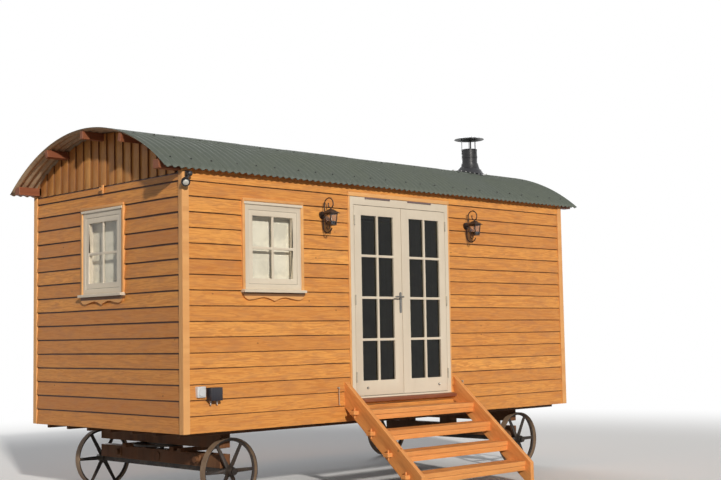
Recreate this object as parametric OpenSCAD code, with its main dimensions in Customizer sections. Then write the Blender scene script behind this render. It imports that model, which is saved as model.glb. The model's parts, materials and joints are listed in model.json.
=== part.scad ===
// A shepherd's hut: a boarded timber cabin under a curved corrugated roof, on four iron wheels.
// Lengths are in millimetres. The modules use hut coordinates: X from the front end's trim
// plane, Y from the door side's trim plane, Z from the lower edge of the cladding.

/* [Body] */
// Length of the body over its corner trims
body_l = 5620; // [5560:10:5700]
// Width of the body over its corner trims
body_w = 2650; // [2600:10:2700]
// Height of the cladding's lower edge above the ground
clad_z = 700; // [700:5:720]
// Height of the eave above the cladding's lower edge
eave_z = 2380; // [2370:5:2400]
// Depth that the boards take outside each wall slab
board_t = 28; // [24:1:30]
// Thickness of a wall slab
wall_t = 90; // [80:5:100]
// Width of a corner trim on the long sides
trim_w = 73; // [60:1:90]
// Width of a corner trim on the ends
end_trim_w = 64; // [50:1:80]

/* [Floor] */
// Height of the finished floor above the cladding's lower edge
floor_z = 180; // [170:5:190]
// Thickness of the floor boards
deck_t = 25; // [18:1:30]
// Depth of a floor joist
joist_d = 195; // [185:5:205]
// Thickness of a floor joist
joist_t = 47; // [38:1:50]
// Spacing of the floor joists
joist_gap = 380; // [360:5:390]

/* [Roof] */
// Radius of the curved roof over the crests of its waves
roof_r = 2180; // [2150:10:2220]
// Overhang of the eave beyond the trim plane
eave_out = 70; // [60:5:80]
// Length of one wave of the corrugated sheets
wave_pitch = 76.2; // [76.2]
// Height of one wave, from trough to crest
wave_h = 18; // [16:1:20]
// Thickness of a roof sheet
sheet_t = 3; // [2:0.5:4]
// Depth of a purlin
purlin_d = 75; // [65:5:80]
// Width of a purlin
purlin_w = 50; // [40:5:60]

/* [Windows] */
// Width of a window over its frame
window_w = 700; // [690:1:730]
// Height of a window over its frame
window_h = 800; // [780:5:820]
// Height of the windows' sills above the cladding's lower edge
sill_z = 1300; // [1280:5:1320]
// Distance of the side windows from the front end
window_x = 1057; // [1040:1:1100]

/* [Doors] */
// Distance of the doorway's middle from the front end
door_x = 2812; // [2800:1:2825]
// Width of the door frame
frame_w = 1475; // [1460:5:1490]
// Thickness of a door leaf
leaf_t = 44; // [40:1:48]
// Gap round a closed leaf
leaf_gap = 5; // [5:0.5:6]
// Gap between the two closed leaves
meeting_gap = 8; // [8:0.5:10]

/* [Steps] */
// Rise from tread to tread
rise = 193; // [190:1:195]
// Going from tread to tread
going = 228; // [225:1:230]
// Depth of a tread
tread_d = 240; // [230:1:250]
// Thickness of a tread
tread_t = 45; // [40:1:50]
// Thickness of a stringer
stringer_t = 50; // [45:1:55]
// Reach of the stringers in front of the trim plane
step_reach = 1020; // [1010:1:1030]

/* [Wheels] */
// Radius of a wheel
wheel_r = 310; // [300:1:312]
// Width of a wheel's rim
rim_w = 80; // [70:1:90]
// Distance of the wheels' outer faces inside the trim planes
wheel_in = 200; // [190:1:210]
// Distance of the front axle from the front end
front_axle_x = 690; // [670:5:700]
// Distance of the rear axle from the front end
rear_axle_x = 4960; // [4940:5:5000]

/* [Flue] */
// Distance of the flue from the front end
flue_x = 4990; // [4985:1:4992]
// Distance of the flue from the door side's trim plane
flue_y = 900; // [880:5:920]
// Radius of the flue pipe
flue_r = 95; // [85:1:95]

/* [Hidden] */

// Place of the hut in the frame of the part
front_y = (step_reach - body_w - eave_out) / 2;
// Roof arch
wave_count = 10;
sheet_count = 8;
wave_steps = 8;
sheet_l = wave_count * wave_pitch;
roof_x0 = (body_l - sheet_count * sheet_l) / 2;
half_w = body_w / 2;
arch_z = eave_z - sqrt(pow(roof_r, 2) - pow(half_w + eave_out, 2));
arch_half = asin((half_w + eave_out) / roof_r);
under_r = roof_r - wave_h - sheet_t;
// Walls
slab_in = board_t + wall_t;
wall_top = eave_z - 15;
gable_z = eave_z - 40;
joist_z = floor_z - deck_t - joist_d;
header_t = 47;
end_cut = 30;
round_fn = 180;
// Purlins
purlin_out = 232;
purlin_side = asin(675 / under_r);
eave_beam_h = 80;
// Windows
frame_bar = 50;
frame_d = 90;
drip_h = 30;
drip_w = 726;
drip_out = 15;
window_sill_w = 766;
window_sill_t = 30;
window_sill_out = 45;
apron_half = 378;
apron_lobe = 305;
apron_rise = 120;
apron_low = -98;
apron_high = -74;
apron_point = -111;
apron_out = 12;
blind_w = 664;
blind_in = 98;
blind_t = 4;
batten_h = 25;
sash_bar_x = 50;
sash_bar_z = 55;
sash_in = 4;
sash_t = 44;
glass_in = 20;
glass_t = 4;
glazing_bar = 26;
transom_up = 392;
// Doorway
frame_x0 = door_x - frame_w / 2;
frame_x1 = door_x + frame_w / 2;
jamb_w = 50;
door_sill_top = 220;
threshold_t = 18;
head_z = 2185;
frame_top = 2266;
leaf_z0 = door_sill_top + threshold_t + leaf_gap;
leaf_z1 = head_z - leaf_gap;
leaf_w = frame_w / 2 - jamb_w - leaf_gap - meeting_gap / 2;
stop_w = 15;
outer_stile = 95;
meeting_stile = 115;
bottom_rail = 150;
top_rail = 100;
leaf_bar = 25;
pane_rows = 4;
// Hinges
knuckle_out = 8;
knuckle_r = 7.5;
hinge_pin_r = 4;
hinge_h = 104;
hinge_zs = [leaf_z0 + 190, (leaf_z0 + leaf_z1) / 2, leaf_z1 - 155];
running_gap = 0.06;
// Handle
handle_in = 28;
handle_z = 1248;
spindle_r = 8;
lever_l = 116;
// Steps
tread_y = 270;
tread_z = 115;
stringer_top = 390;
stringer_d = 200;
step_slope = atan(rise / going);
tenon_w = 65;
tenon_h = 38;
tenon_out = 60;
peg_r = 9;
stair_x0 = frame_x0 - 55;
stair_x1 = frame_x1 + 50;
// Undercarriage
hub_z = wheel_r - clad_z;
hub_w = 120;
hub_r = 52;
journal_r = 22;
axle_s = 50;
bed_w = 120;
bed_end = wheel_in + 100;
bed_top = hub_z + 150;
bolster_z = -180;
ring_t = 10;
ring_r = 280;
ring_w = 50;
king_r = 20;

// Tools for placing and shaping

module on_ground() {
    translate([-body_l / 2, front_y, clad_z]) children();
}

module both_ends() {
    children();
    translate([body_l, 0, 0]) mirror([1, 0, 0]) children();
}

module both_sides() {
    children();
    translate([0, body_w, 0]) mirror([0, 1, 0]) children();
}

// A box between its lowest and its highest corner
module block(low, high) {
    translate(low) cube(high - low);
}

// Round bars along X, along Y and upright
module bar_x(r, x0, x1) {
    translate([x0, 0, 0]) rotate([0, 90, 0]) cylinder(r = r, h = x1 - x0, $fn = 48);
}

module bar_y(r, y0, y1) {
    translate([0, y1, 0]) rotate([90, 0, 0]) cylinder(r = r, h = y1 - y0, $fn = 48);
}

module bar_z(r, z0, z1) {
    translate([0, 0, z0]) cylinder(r = r, h = z1 - z0, $fn = 48);
}

// A round bar bent in the Y-Z plane, from angle a0 to a1, where 0 is towards +Y and 90 is up
module bent_bar(bend_r, r, a0, a1) {
    rotate([90, 0, 90]) rotate([0, 0, a0])
        rotate_extrude(angle = a1 - a0, $fn = 96) translate([bend_r, 0]) circle(r = r, $fn = 24);
}

// The space below the arch of a given radius
module below_arch(r, x0, x1) {
    translate([x0, half_w, arch_z]) rotate([0, 90, 0]) cylinder(r = r, h = x1 - x0, $fn = round_fn);
}

// Floor

module floor_deck() {
    color("burlywood") on_ground()
        block([slab_in, slab_in, floor_z - deck_t], [body_l - slab_in, body_w - slab_in, floor_z]);
}

module floor_joists() {
    color("saddlebrown") on_ground()
        for (i = [-3 : 3])
            translate([0, half_w + i * joist_gap, 0])
                block([board_t + header_t, -joist_t / 2, joist_z],
                      [body_l - board_t - header_t, joist_t / 2, joist_z + joist_d]);
}

// Walls

module window_hole() {
    block([-window_w / 2, 0, 0], [window_w / 2, slab_in + 1, window_h]);
}

// Windows stand in the near wall, the back wall and both ends
module at_near_window() {
    translate([window_x, 0, sill_z]) children();
}

module at_back_window() {
    translate([window_x, body_w, sill_z]) mirror([0, 1, 0]) children();
}

module at_end_window() {
    translate([0, half_w, sill_z]) rotate([0, 0, -90]) children();
}

module at_windows() {
    at_near_window() children();
    at_back_window() children();
    both_ends() at_end_window() children();
}

module door_wall_left() {
    color("peru") on_ground() difference() {
        block([board_t, board_t, 0], [frame_x0, slab_in, wall_top]);
        at_near_window() window_hole();
    }
}

module door_wall_right() {
    color("peru") on_ground()
        block([frame_x1, board_t, 0], [body_l - board_t, slab_in, wall_top]);
}

// The strips of wall over the door frame and under its sill
module door_wall_infill() {
    color("peru") on_ground() {
        block([frame_x0, board_t, frame_top], [frame_x1, slab_in, wall_top]);
        block([frame_x0, board_t, 0], [frame_x1, slab_in, floor_z]);
    }
}

module back_wall() {
    color("peru") on_ground() difference() {
        block([board_t, body_w - slab_in, 0], [body_l - board_t, body_w - board_t, wall_top]);
        at_back_window() window_hole();
    }
}

// An end wall stands on the joists and covers their ends with a thinner foot
module end_wall() {
    difference() {
        translate([0, body_w - slab_in, 0]) rotate([90, 0, 0])
            linear_extrude(body_w - 2 * slab_in)
                polygon([
                    [board_t, end_cut], [board_t + header_t, end_cut],
                    [board_t + header_t, floor_z - deck_t], [slab_in, floor_z - deck_t],
                    [slab_in, gable_z], [board_t, gable_z]
                ]);
        at_end_window() window_hole();
    }
}

module front_end_wall() {
    color("peru") on_ground() end_wall();
}

module rear_end_wall() {
    color("peru") on_ground() translate([body_l, 0, 0]) mirror([1, 0, 0]) end_wall();
}

// A gable fills the arch above the end wall and the wall beams, and is notched over the purlins
module gable() {
    beam_top = wall_top + eave_beam_h;
    difference() {
        intersection() {
            union() {
                block([board_t, slab_in, gable_z], [slab_in, body_w - slab_in, arch_z + roof_r]);
                block([board_t, board_t, beam_top], [slab_in, body_w - board_t, arch_z + roof_r]);
            }
            below_arch(under_r - 0.6, 0, slab_in + 1);
        }
        purlin_beams();
    }
}

// A turned peg in the middle of the front gable's lower edge
module turn_peg() {
    translate([0, half_w, gable_z - 24]) {
        bar_x(9, -26, board_t);
        translate([-26, 0, 0]) rotate([0, 90, 0]) cylinder(r1 = 20, r2 = 14, h = 20, $fn = 48);
    }
}

module front_gable() {
    color("chocolate") on_ground() {
        gable();
        turn_peg();
    }
}

module rear_gable() {
    color("chocolate") on_ground() translate([body_l, 0, 0]) mirror([1, 0, 0]) gable();
}

// A corner trim reaches the sheets on the long side and the wall beam on the end
module corner_trim() {
    intersection() {
        union() {
            block([0, 0, 0], [trim_w, board_t, eave_z + 60]);
            block([0, 0, 0], [board_t, end_trim_w, wall_top]);
        }
        below_arch(under_r - 4, -1, trim_w + 1);
    }
}

module corner_trims() {
    color("sandybrown") on_ground() both_ends() both_sides() corner_trim();
}

// Roof

function wave_r(x) = roof_r - wave_h / 2 + wave_h / 2 * cos(360 * x / wave_pitch);

// One corrugated sheet, bent from eave to eave
module roof_sheet() {
    last = wave_count * wave_steps;
    top = [for (i = [0 : last]) [wave_r(i * wave_pitch / wave_steps), i * wave_pitch / wave_steps]];
    under = [for (i = [last : -1 : 0]) [top[i][0] - sheet_t, top[i][1]]];
    translate([0, half_w, arch_z]) rotate([0, 90, 0]) rotate([0, 0, 180 - arch_half])
        rotate_extrude(angle = 2 * arch_half, $fn = round_fn) polygon(concat(top, under));
}

module flue_hole() {
    translate([flue_x, flue_y, arch_z]) cylinder(r = flue_r + 5, h = roof_r + 100, $fn = 64);
}

module sheet_row(first) {
    difference() {
        for (i = [first : 2 : sheet_count - 1])
            translate([roof_x0 + i * sheet_l, 0, 0]) roof_sheet();
        flue_hole();
    }
}

module roof_sheets_a() {
    color("darkslategray") on_ground() sheet_row(0);
}

module roof_sheets_b() {
    color("slategray") on_ground() sheet_row(1);
}

// Purlins run the length of the roof: one on each wall and three under the arch
module purlin_beams() {
    for (turn = [-purlin_side, 0, purlin_side])
        translate([0, half_w, arch_z]) rotate([turn, 0, 0])
            block([-purlin_out, -purlin_w / 2, under_r - purlin_d - 0.2],
                  [body_l + purlin_out, purlin_w / 2, under_r - 0.2]);
}

module roof_purlins() {
    color("sienna") on_ground() {
        purlin_beams();
        both_sides() intersection() {
            block([-purlin_out, board_t, wall_top], [body_l + purlin_out, slab_in, wall_top + eave_beam_h]);
            below_arch(under_r - 0.2, -purlin_out - 1, body_l + purlin_out + 1);
        }
    }
}

// The boards under the purlins inside the hut
module ceiling_lining() {
    lining_r = under_r - purlin_d - 0.3;
    color("wheat") on_ground() difference() {
        intersection() {
            block([slab_in, slab_in, gable_z - 100], [body_l - slab_in, body_w - slab_in, arch_z + roof_r]);
            difference() {
                below_arch(lining_r, slab_in - 1, body_l);
                below_arch(lining_r - 12, slab_in - 2, body_l + 1);
            }
        }
        flue_hole();
    }
}

// Windows, drawn from the middle of the sill with Y into the wall

// A frame with a drip moulding over its head
module window_frame() {
    hole_w = window_w - 2 * frame_bar;
    difference() {
        block([-window_w / 2, 0, 0], [window_w / 2, frame_d, window_h]);
        block([-hole_w / 2, -1, frame_bar], [hole_w / 2, frame_d + 1, window_h - frame_bar]);
    }
    translate([-drip_w / 2, 0, window_h]) rotate([90, 0, 90]) linear_extrude(drip_w)
        polygon([[-drip_out, 0], [-drip_out, drip_h - 8], [0, drip_h], [board_t, drip_h], [board_t, 0]]);
}

module window_sash() {
    sash_w = window_w / 2 - frame_bar;
    pane_w = sash_w - sash_bar_x;
    difference() {
        block([-sash_w, sash_in, frame_bar], [sash_w, sash_in + sash_t, window_h - frame_bar]);
        difference() {
            block([-pane_w, 0, frame_bar + sash_bar_z], [pane_w, frame_d, window_h - frame_bar - sash_bar_z]);
            block([-glazing_bar / 2, sash_in + 4, 0], [glazing_bar / 2, glass_in - 0.5, window_h]);
            block([-window_w, sash_in + 4, transom_up - glazing_bar / 2],
                  [window_w, glass_in - 0.5, transom_up + glazing_bar / 2]);
        }
    }
}

module window_pane() {
    pane_w = window_w / 2 - frame_bar - sash_bar_x;
    block([-pane_w, glass_in - 0.5, frame_bar + sash_bar_z],
          [pane_w, glass_in + glass_t, window_h - frame_bar - sash_bar_z]);
}

// The sill stands out below the frame, slopes to the front and has a drip groove underneath
module window_sill() {
    front = -window_sill_out;
    low = -window_sill_t;
    translate([-window_sill_w / 2, 0, 0]) rotate([90, 0, 90]) linear_extrude(window_sill_w)
        polygon([
            [board_t, low], [board_t, 0], [0, 0], [front, -6], [front, low],
            [front + 9, low], [front + 11, low + 4], [front + 15, low + 4], [front + 17, low]
        ]);
}

// Lower edge of an apron from its middle point outwards: up to a rise, then down to a lobe
function apron_edge(x) = x < apron_rise
    ? apron_high + (apron_point - apron_high) * pow(1 - x / apron_rise, 1.5)
    : (apron_high + apron_low) / 2
        + (apron_high - apron_low) / 2 * cos(180 * (x - apron_rise) / (apron_lobe - apron_rise));

// A board below the sill, cut to a cupid's bow along its lower edge, with rounded ends
module window_apron() {
    end_h = -window_sill_t - apron_low;
    right = concat(
        [for (x = [0 : 20 : apron_lobe - 1]) [x, apron_edge(x)]],
        [for (a = [0 : 15 : 90])
            [apron_lobe + (apron_half - apron_lobe) * sin(a), apron_low + end_h * (1 - cos(a))]]
    );
    left = [for (i = [len(right) - 1 : -1 : 1]) [-right[i][0], right[i][1]]];
    translate([0, board_t, 0]) rotate([90, 0, 0]) linear_extrude(board_t + apron_out)
        polygon(concat(right, left));
}

// A flat blind hangs behind the frame from a batten
module window_blind() {
    batten_z = window_h - batten_h;
    block([-blind_w / 2, blind_in, frame_bar], [blind_w / 2, blind_in + blind_t, batten_z]);
    block([-blind_w / 2, frame_d + 2, batten_z], [blind_w / 2, slab_in - 6, window_h]);
}

module window_frames() {
    color("cornsilk") on_ground() at_windows() window_frame();
}

module window_sashes() {
    color("ivory") on_ground() at_windows() window_sash();
}

module window_glass() {
    color("lightblue", 0.4) on_ground() at_windows() window_pane();
}

module window_sills() {
    color("cornsilk") on_ground() at_windows() window_sill();
}

module window_aprons() {
    color("sandybrown") on_ground() at_windows() window_apron();
}

module window_blinds() {
    color("beige") on_ground() at_windows() window_blind();
}

// Doors

module door_frame() {
    inner_x0 = frame_x0 + jamb_w;
    inner_x1 = frame_x1 - jamb_w;
    stop_y = leaf_t + 6;
    color("cornsilk") on_ground() difference() {
        block([frame_x0, 0, door_sill_top], [frame_x1, frame_d, frame_top]);
        block([inner_x0, -1, door_sill_top + threshold_t], [inner_x1, stop_y, head_z]);
        block([inner_x0 + stop_w, -1, door_sill_top + threshold_t],
              [inner_x1 - stop_w, frame_d + 1, head_z - stop_w]);
    }
}

module door_sill() {
    color("sienna") on_ground()
        translate([frame_x0 - 30, 0, 0]) rotate([90, 0, 90]) linear_extrude(frame_w + 60)
            polygon([
                [-52, floor_z + 2], [board_t, floor_z + 2], [board_t, door_sill_top],
                [0, door_sill_top], [-52, door_sill_top - 8]
            ]);
    color("sienna") on_ground()
        block([frame_x0, board_t, floor_z], [frame_x1, slab_in, door_sill_top]);
}

// A leaf drawn with its hinged edge at X = 0 and its outer face at Y = 0
module leaf() {
    leaf_h = leaf_z1 - leaf_z0;
    pane_w = (leaf_w - outer_stile - meeting_stile - leaf_bar) / 2;
    pane_h = (leaf_h - bottom_rail - top_rail - (pane_rows - 1) * leaf_bar) / pane_rows;
    difference() {
        block([0, 0, leaf_z0], [leaf_w, leaf_t, leaf_z1]);
        for (row = [0 : pane_rows - 1], col = [0, 1])
            translate([outer_stile + col * (pane_w + leaf_bar), 0,
                       leaf_z0 + bottom_rail + row * (pane_h + leaf_bar)])
                block([0, -1, 0], [pane_w, leaf_t + 1, pane_h]);
        block([outer_stile, leaf_t / 2 - glass_t / 2, leaf_z0 + bottom_rail],
              [leaf_w - meeting_stile, leaf_t / 2 + glass_t / 2, leaf_z1 - top_rail]);
    }
}

module leaf_pane() {
    block([outer_stile, leaf_t / 2 - glass_t / 2, leaf_z0 + bottom_rail],
          [leaf_w - meeting_stile, leaf_t / 2 + glass_t / 2, leaf_z1 - top_rail]);
}

module at_left_leaf() {
    translate([frame_x0 + jamb_w + leaf_gap, 0, 0]) children();
}

module at_right_leaf() {
    translate([frame_x1 - jamb_w - leaf_gap, 0, 0]) mirror([1, 0, 0]) children();
}

module at_spindle() {
    at_left_leaf() translate([leaf_w - handle_in, 0, handle_z]) children();
}

module left_leaf() {
    color("cornsilk") on_ground() difference() {
        at_left_leaf() leaf();
        at_spindle() bar_y(spindle_r + running_gap, -1, leaf_t + 1);
    }
}

module right_leaf() {
    color("cornsilk") on_ground() at_right_leaf() leaf();
}

module left_glass() {
    color("lightblue", 0.4) on_ground() at_left_leaf() leaf_pane();
}

module right_glass() {
    color("lightblue", 0.4) on_ground() at_right_leaf() leaf_pane();
}

// Long narrow plates with round ends on both faces of the left leaf
module handle_plates() {
    plate_t = 7;
    end_r = 15;
    above = 35;
    below = 152;
    color("silver") on_ground() at_spindle()
        for (face = [-plate_t, leaf_t])
            difference() {
                translate([0, face + plate_t, 0]) rotate([90, 0, 0]) linear_extrude(plate_t) {
                    translate([0, above]) circle(r = end_r, $fn = 32);
                    translate([-end_r, -below]) square([2 * end_r, above + below]);
                    translate([0, -below]) circle(r = end_r, $fn = 32);
                }
                bar_y(spindle_r + running_gap, -20, leaf_t + 20);
            }
}

// One spindle with a lever on each face
module door_lever() {
    reach = 52;
    color("silver") on_ground() at_spindle() {
        bar_y(spindle_r, -reach, leaf_t + reach);
        for (y = [-reach, leaf_t + reach])
            translate([0, y, 0]) {
                bar_x(8, -lever_l, 0);
                sphere(r = 8, $fn = 32);
                translate([-lever_l, 0, 0]) sphere(r = 8, $fn = 32);
            }
    }
}

// The knuckles of one hinge lie in front of the gap at the jamb
module at_hinges() {
    for (z = hinge_zs)
        translate([-leaf_gap / 2, -knuckle_out, z - hinge_h / 2]) children();
}

module fixed_half() {
    third = hinge_h / 3;
    cylinder(r = hinge_pin_r, h = hinge_h, $fn = 48);
    for (z = [0, 2 * third + 0.5])
        translate([0, 0, z]) {
            cylinder(r = knuckle_r, h = third - 0.5, $fn = 48);
            translate([-leaf_gap / 2, 0, 0]) cube([1.5, 40, third - 0.5]);
        }
}

module moving_half() {
    third = hinge_h / 3;
    difference() {
        translate([0, 0, third]) {
            cylinder(r = knuckle_r, h = third, $fn = 48);
            translate([leaf_gap / 2 - 1.5, 0, 0]) cube([1.5, 40, third]);
        }
        cylinder(r = hinge_pin_r + running_gap, h = hinge_h, $fn = 48);
    }
}

module frame_hinges() {
    color("dimgray") on_ground() {
        at_left_leaf() at_hinges() fixed_half();
        at_right_leaf() at_hinges() fixed_half();
    }
}

module left_hinges() {
    color("gray") on_ground() at_left_leaf() at_hinges() moving_half();
}

module right_hinges() {
    color("gray") on_ground() at_right_leaf() at_hinges() moving_half();
}

// Steps

function tread_front(i) = -tread_y - i * going;
function tread_top(i) = tread_z - i * rise;

module tenon_hole(i, x0, x1) {
    y = tread_front(i) + tread_d / 2;
    z = tread_top(i) - tread_t / 2;
    block([x0, y - tenon_w / 2, z - tenon_h / 2], [x1, y + tenon_w / 2, z + tenon_h / 2]);
}

// A stringer leans on the wall and is cut level on the ground
module stringer(x0) {
    drop = stringer_d / cos(step_slope);
    fall = tan(step_slope);
    foot_y = (stringer_top - drop + clad_z) / fall;
    difference() {
        translate([x0, 0, 0]) rotate([90, 0, 90]) linear_extrude(stringer_t)
            polygon([
                [board_t, stringer_top], [0, stringer_top],
                [-step_reach, stringer_top - step_reach * fall], [-step_reach, -clad_z],
                [-foot_y, -clad_z], [0, stringer_top - drop], [board_t, stringer_top - drop]
            ]);
        for (i = [0 : 3])
            tenon_hole(i, x0 - 1, x0 + stringer_t + 1);
    }
}

module stair_stringers() {
    color("peru") on_ground() {
        stringer(stair_x0 - stringer_t);
        stringer(stair_x1);
    }
}

// A tread with a groove along its middle and a tenon through each stringer
module tread(i) {
    y = tread_front(i);
    z = tread_top(i);
    difference() {
        block([stair_x0, y, z - tread_t], [stair_x1, y + tread_d, z]);
        block([stair_x0 - 1, y + tread_d / 2 - 3, z - 12], [stair_x1 + 1, y + tread_d / 2 + 3, z + 1]);
    }
    difference() {
        tenon_hole(i, stair_x0 - stringer_t - tenon_out, stair_x1 + stringer_t + tenon_out);
        block([stair_x0, y, z - tread_t], [stair_x1, y + tread_d, z]);
        peg_holes(i);
    }
}

module at_pegs(i) {
    for (x = [stair_x0 - stringer_t - 22, stair_x1 + stringer_t + 22])
        translate([x, tread_front(i) + tread_d / 2, tread_top(i) - tread_t / 2]) children();
}

module peg_holes(i) {
    at_pegs(i) translate([0, 0, -tenon_h]) cylinder(r = peg_r, h = 2 * tenon_h, $fn = 32);
}

module stair_treads() {
    color("burlywood") on_ground()
        for (i = [0 : 3])
            tread(i);
}

module stair_pegs() {
    color("tan") on_ground()
        for (i = [0 : 3])
            at_pegs(i) translate([0, 0, -48]) cylinder(r = peg_r, h = 96, $fn = 32);
}

// Running gear

// A cast wheel with its outer face at Y = 0: a flat rim with a rib, a hub and six spokes
module wheel() {
    rotate([-90, 0, 0]) {
        difference() {
            union() {
                rotate_extrude($fn = 96)
                    polygon([
                        [wheel_r, 0], [wheel_r, rim_w], [wheel_r - 9, rim_w], [wheel_r - 11, rim_w / 2 + 7],
                        [wheel_r - 32, rim_w / 2 + 5], [wheel_r - 32, rim_w / 2 - 5],
                        [wheel_r - 11, rim_w / 2 - 7], [wheel_r - 9, 0]
                    ]);
                translate([0, 0, -25]) rotate_extrude($fn = 64)
                    polygon([
                        [0, 0], [36, 0], [40, 6], [46, 50], [hub_r, 56],
                        [hub_r, 78], [44, 86], [40, hub_w], [0, hub_w]
                    ]);
                for (turn = [0 : 60 : 300])
                    rotate([0, 0, turn]) spoke();
            }
            translate([0, 0, -30]) cylinder(r = journal_r + running_gap, h = hub_w + 20, $fn = 64);
        }
    }
}

// A spoke of T section, wider at the hub
module spoke() {
    length = wheel_r - 20;
    translate([0, 0, rim_w / 2 - 5]) linear_extrude(10)
        polygon([[30, -21], [length, -15], [length, 15], [30, 21]]);
    translate([0, 0, rim_w / 2 + 4]) linear_extrude(18)
        polygon([[30, -6], [length - 14, -5], [length - 14, 5], [30, 6]]);
}

module at_wheel(axle_x) {
    translate([axle_x, wheel_in, hub_z]) children();
}

module wheel_front_near() {
    color("darkgray") on_ground() at_wheel(front_axle_x) wheel();
}

module wheel_front_far() {
    color("darkgray") on_ground()
        translate([0, body_w, 0]) mirror([0, 1, 0]) at_wheel(front_axle_x) wheel();
}

module wheel_rear_near() {
    color("darkgray") on_ground() at_wheel(rear_axle_x) wheel();
}

module wheel_rear_far() {
    color("darkgray") on_ground()
        translate([0, body_w, 0]) mirror([0, 1, 0]) at_wheel(rear_axle_x) wheel();
}

// The square axle ends in round journals with a collar outside each hub
module axle(x) {
    hub_y = wheel_in - 25;
    translate([x, 0, hub_z]) {
        block([-axle_s / 2, hub_y + hub_w + 1, -axle_s / 2],
              [axle_s / 2, body_w - hub_y - hub_w - 1, axle_s / 2]);
        bar_y(journal_r, hub_y - 20, body_w - hub_y + 20);
        bar_y(32, hub_y - 20, hub_y - 1);
        bar_y(32, body_w - hub_y + 1, body_w - hub_y + 20);
    }
}

// A turntable ring with a bar across it
module ring_plate() {
    difference() {
        cylinder(r = ring_r, h = ring_t, $fn = 96);
        translate([0, 0, -1]) cylinder(r = ring_r - ring_w, h = ring_t + 2, $fn = 96);
    }
    translate([-30, -ring_r + 10, 0]) cube([60, 2 * ring_r - 20, ring_t]);
}

module at_king_pin() {
    translate([front_axle_x, half_w, 0]) children();
}

module front_axle_iron() {
    color("dimgray") on_ground() {
        axle(front_axle_x);
        at_king_pin() {
            translate([0, 0, hub_z]) cylinder(r = king_r, h = bolster_z + 80 - hub_z, $fn = 48);
            translate([0, 0, bolster_z - 2 * ring_t - 1]) ring_plate();
        }
    }
}

// The axle timber carries two hounds under the turntable
module front_axle_bed() {
    hound_top = bolster_z - 2 * ring_t - 1;
    color("saddlebrown") on_ground() difference() {
        union() {
            block([front_axle_x - bed_w / 2, bed_end, hub_z + axle_s / 2],
                  [front_axle_x + bed_w / 2, body_w - bed_end, bed_top]);
            for (y = [half_w - 475, half_w + 475])
                block([front_axle_x - 140, y - 30, bed_top], [front_axle_x + 420, y + 30, hound_top]);
            block([front_axle_x + 340, half_w - 505, bed_top], [front_axle_x + 400, half_w + 505, hound_top]);
            for (y = [half_w - 240, half_w + 240])
                block([front_axle_x - bed_w / 2, y - 35, bed_top],
                      [front_axle_x + bed_w / 2, y + 35, hound_top]);
            translate([front_axle_x, half_w, -310]) bar_x(50, -bed_w / 2 - 8, 0);
            for (y = [half_w - 675, half_w + 675])
                translate([front_axle_x - bed_w / 2, y, -300]) {
                    bar_x(30, -45, 0);
                    translate([-12, -45, -42]) cube([12, 90, 84]);
                }
        }
        at_king_pin() translate([0, 0, hub_z]) cylinder(r = king_r, h = 400, $fn = 48);
    }
}

module front_bolster() {
    color("saddlebrown") on_ground() difference() {
        block([front_axle_x - bed_w / 2, bed_end, bolster_z],
              [front_axle_x + bed_w / 2, body_w - bed_end, joist_z]);
        at_king_pin() translate([0, 0, bolster_z - 1])
            cylinder(r = king_r + running_gap, h = 84, $fn = 48);
    }
}

module turntable_plate() {
    color("dimgray") on_ground() at_king_pin() difference() {
        translate([0, 0, bolster_z - ring_t]) ring_plate();
        bar_z(king_r + running_gap, bolster_z - ring_t - 1, bolster_z + 1);
    }
}

module rear_axle_bed() {
    x0 = rear_axle_x - bed_w / 2;
    x1 = rear_axle_x + bed_w / 2;
    color("saddlebrown") on_ground() {
        block([x0, bed_end, hub_z + axle_s / 2], [x1, body_w - bed_end, bed_top]);
        block([x0, bed_end, bolster_z], [x1, body_w - bed_end, joist_z]);
        for (y = [half_w - 700, half_w, half_w + 700])
            block([x0, y - 90, bed_top], [x1, y + 90, bolster_z]);
    }
}

module rear_axle_iron() {
    color("dimgray") on_ground() axle(rear_axle_x);
}

// Fittings

// A hook hangs from an eye beside each leaf
module cabin_hook(x) {
    translate([x, 0, 337]) {
        bar_y(9, -14, board_t);
        translate([0, -10, -165]) cylinder(r = 4, h = 165, $fn = 24);
        translate([0, -22, -165]) bar_y(4, 0, 12);
    }
}

module cabin_hooks() {
    color("black") on_ground() {
        cabin_hook(door_x - 938);
        cabin_hook(door_x + 918);
    }
}

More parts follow.
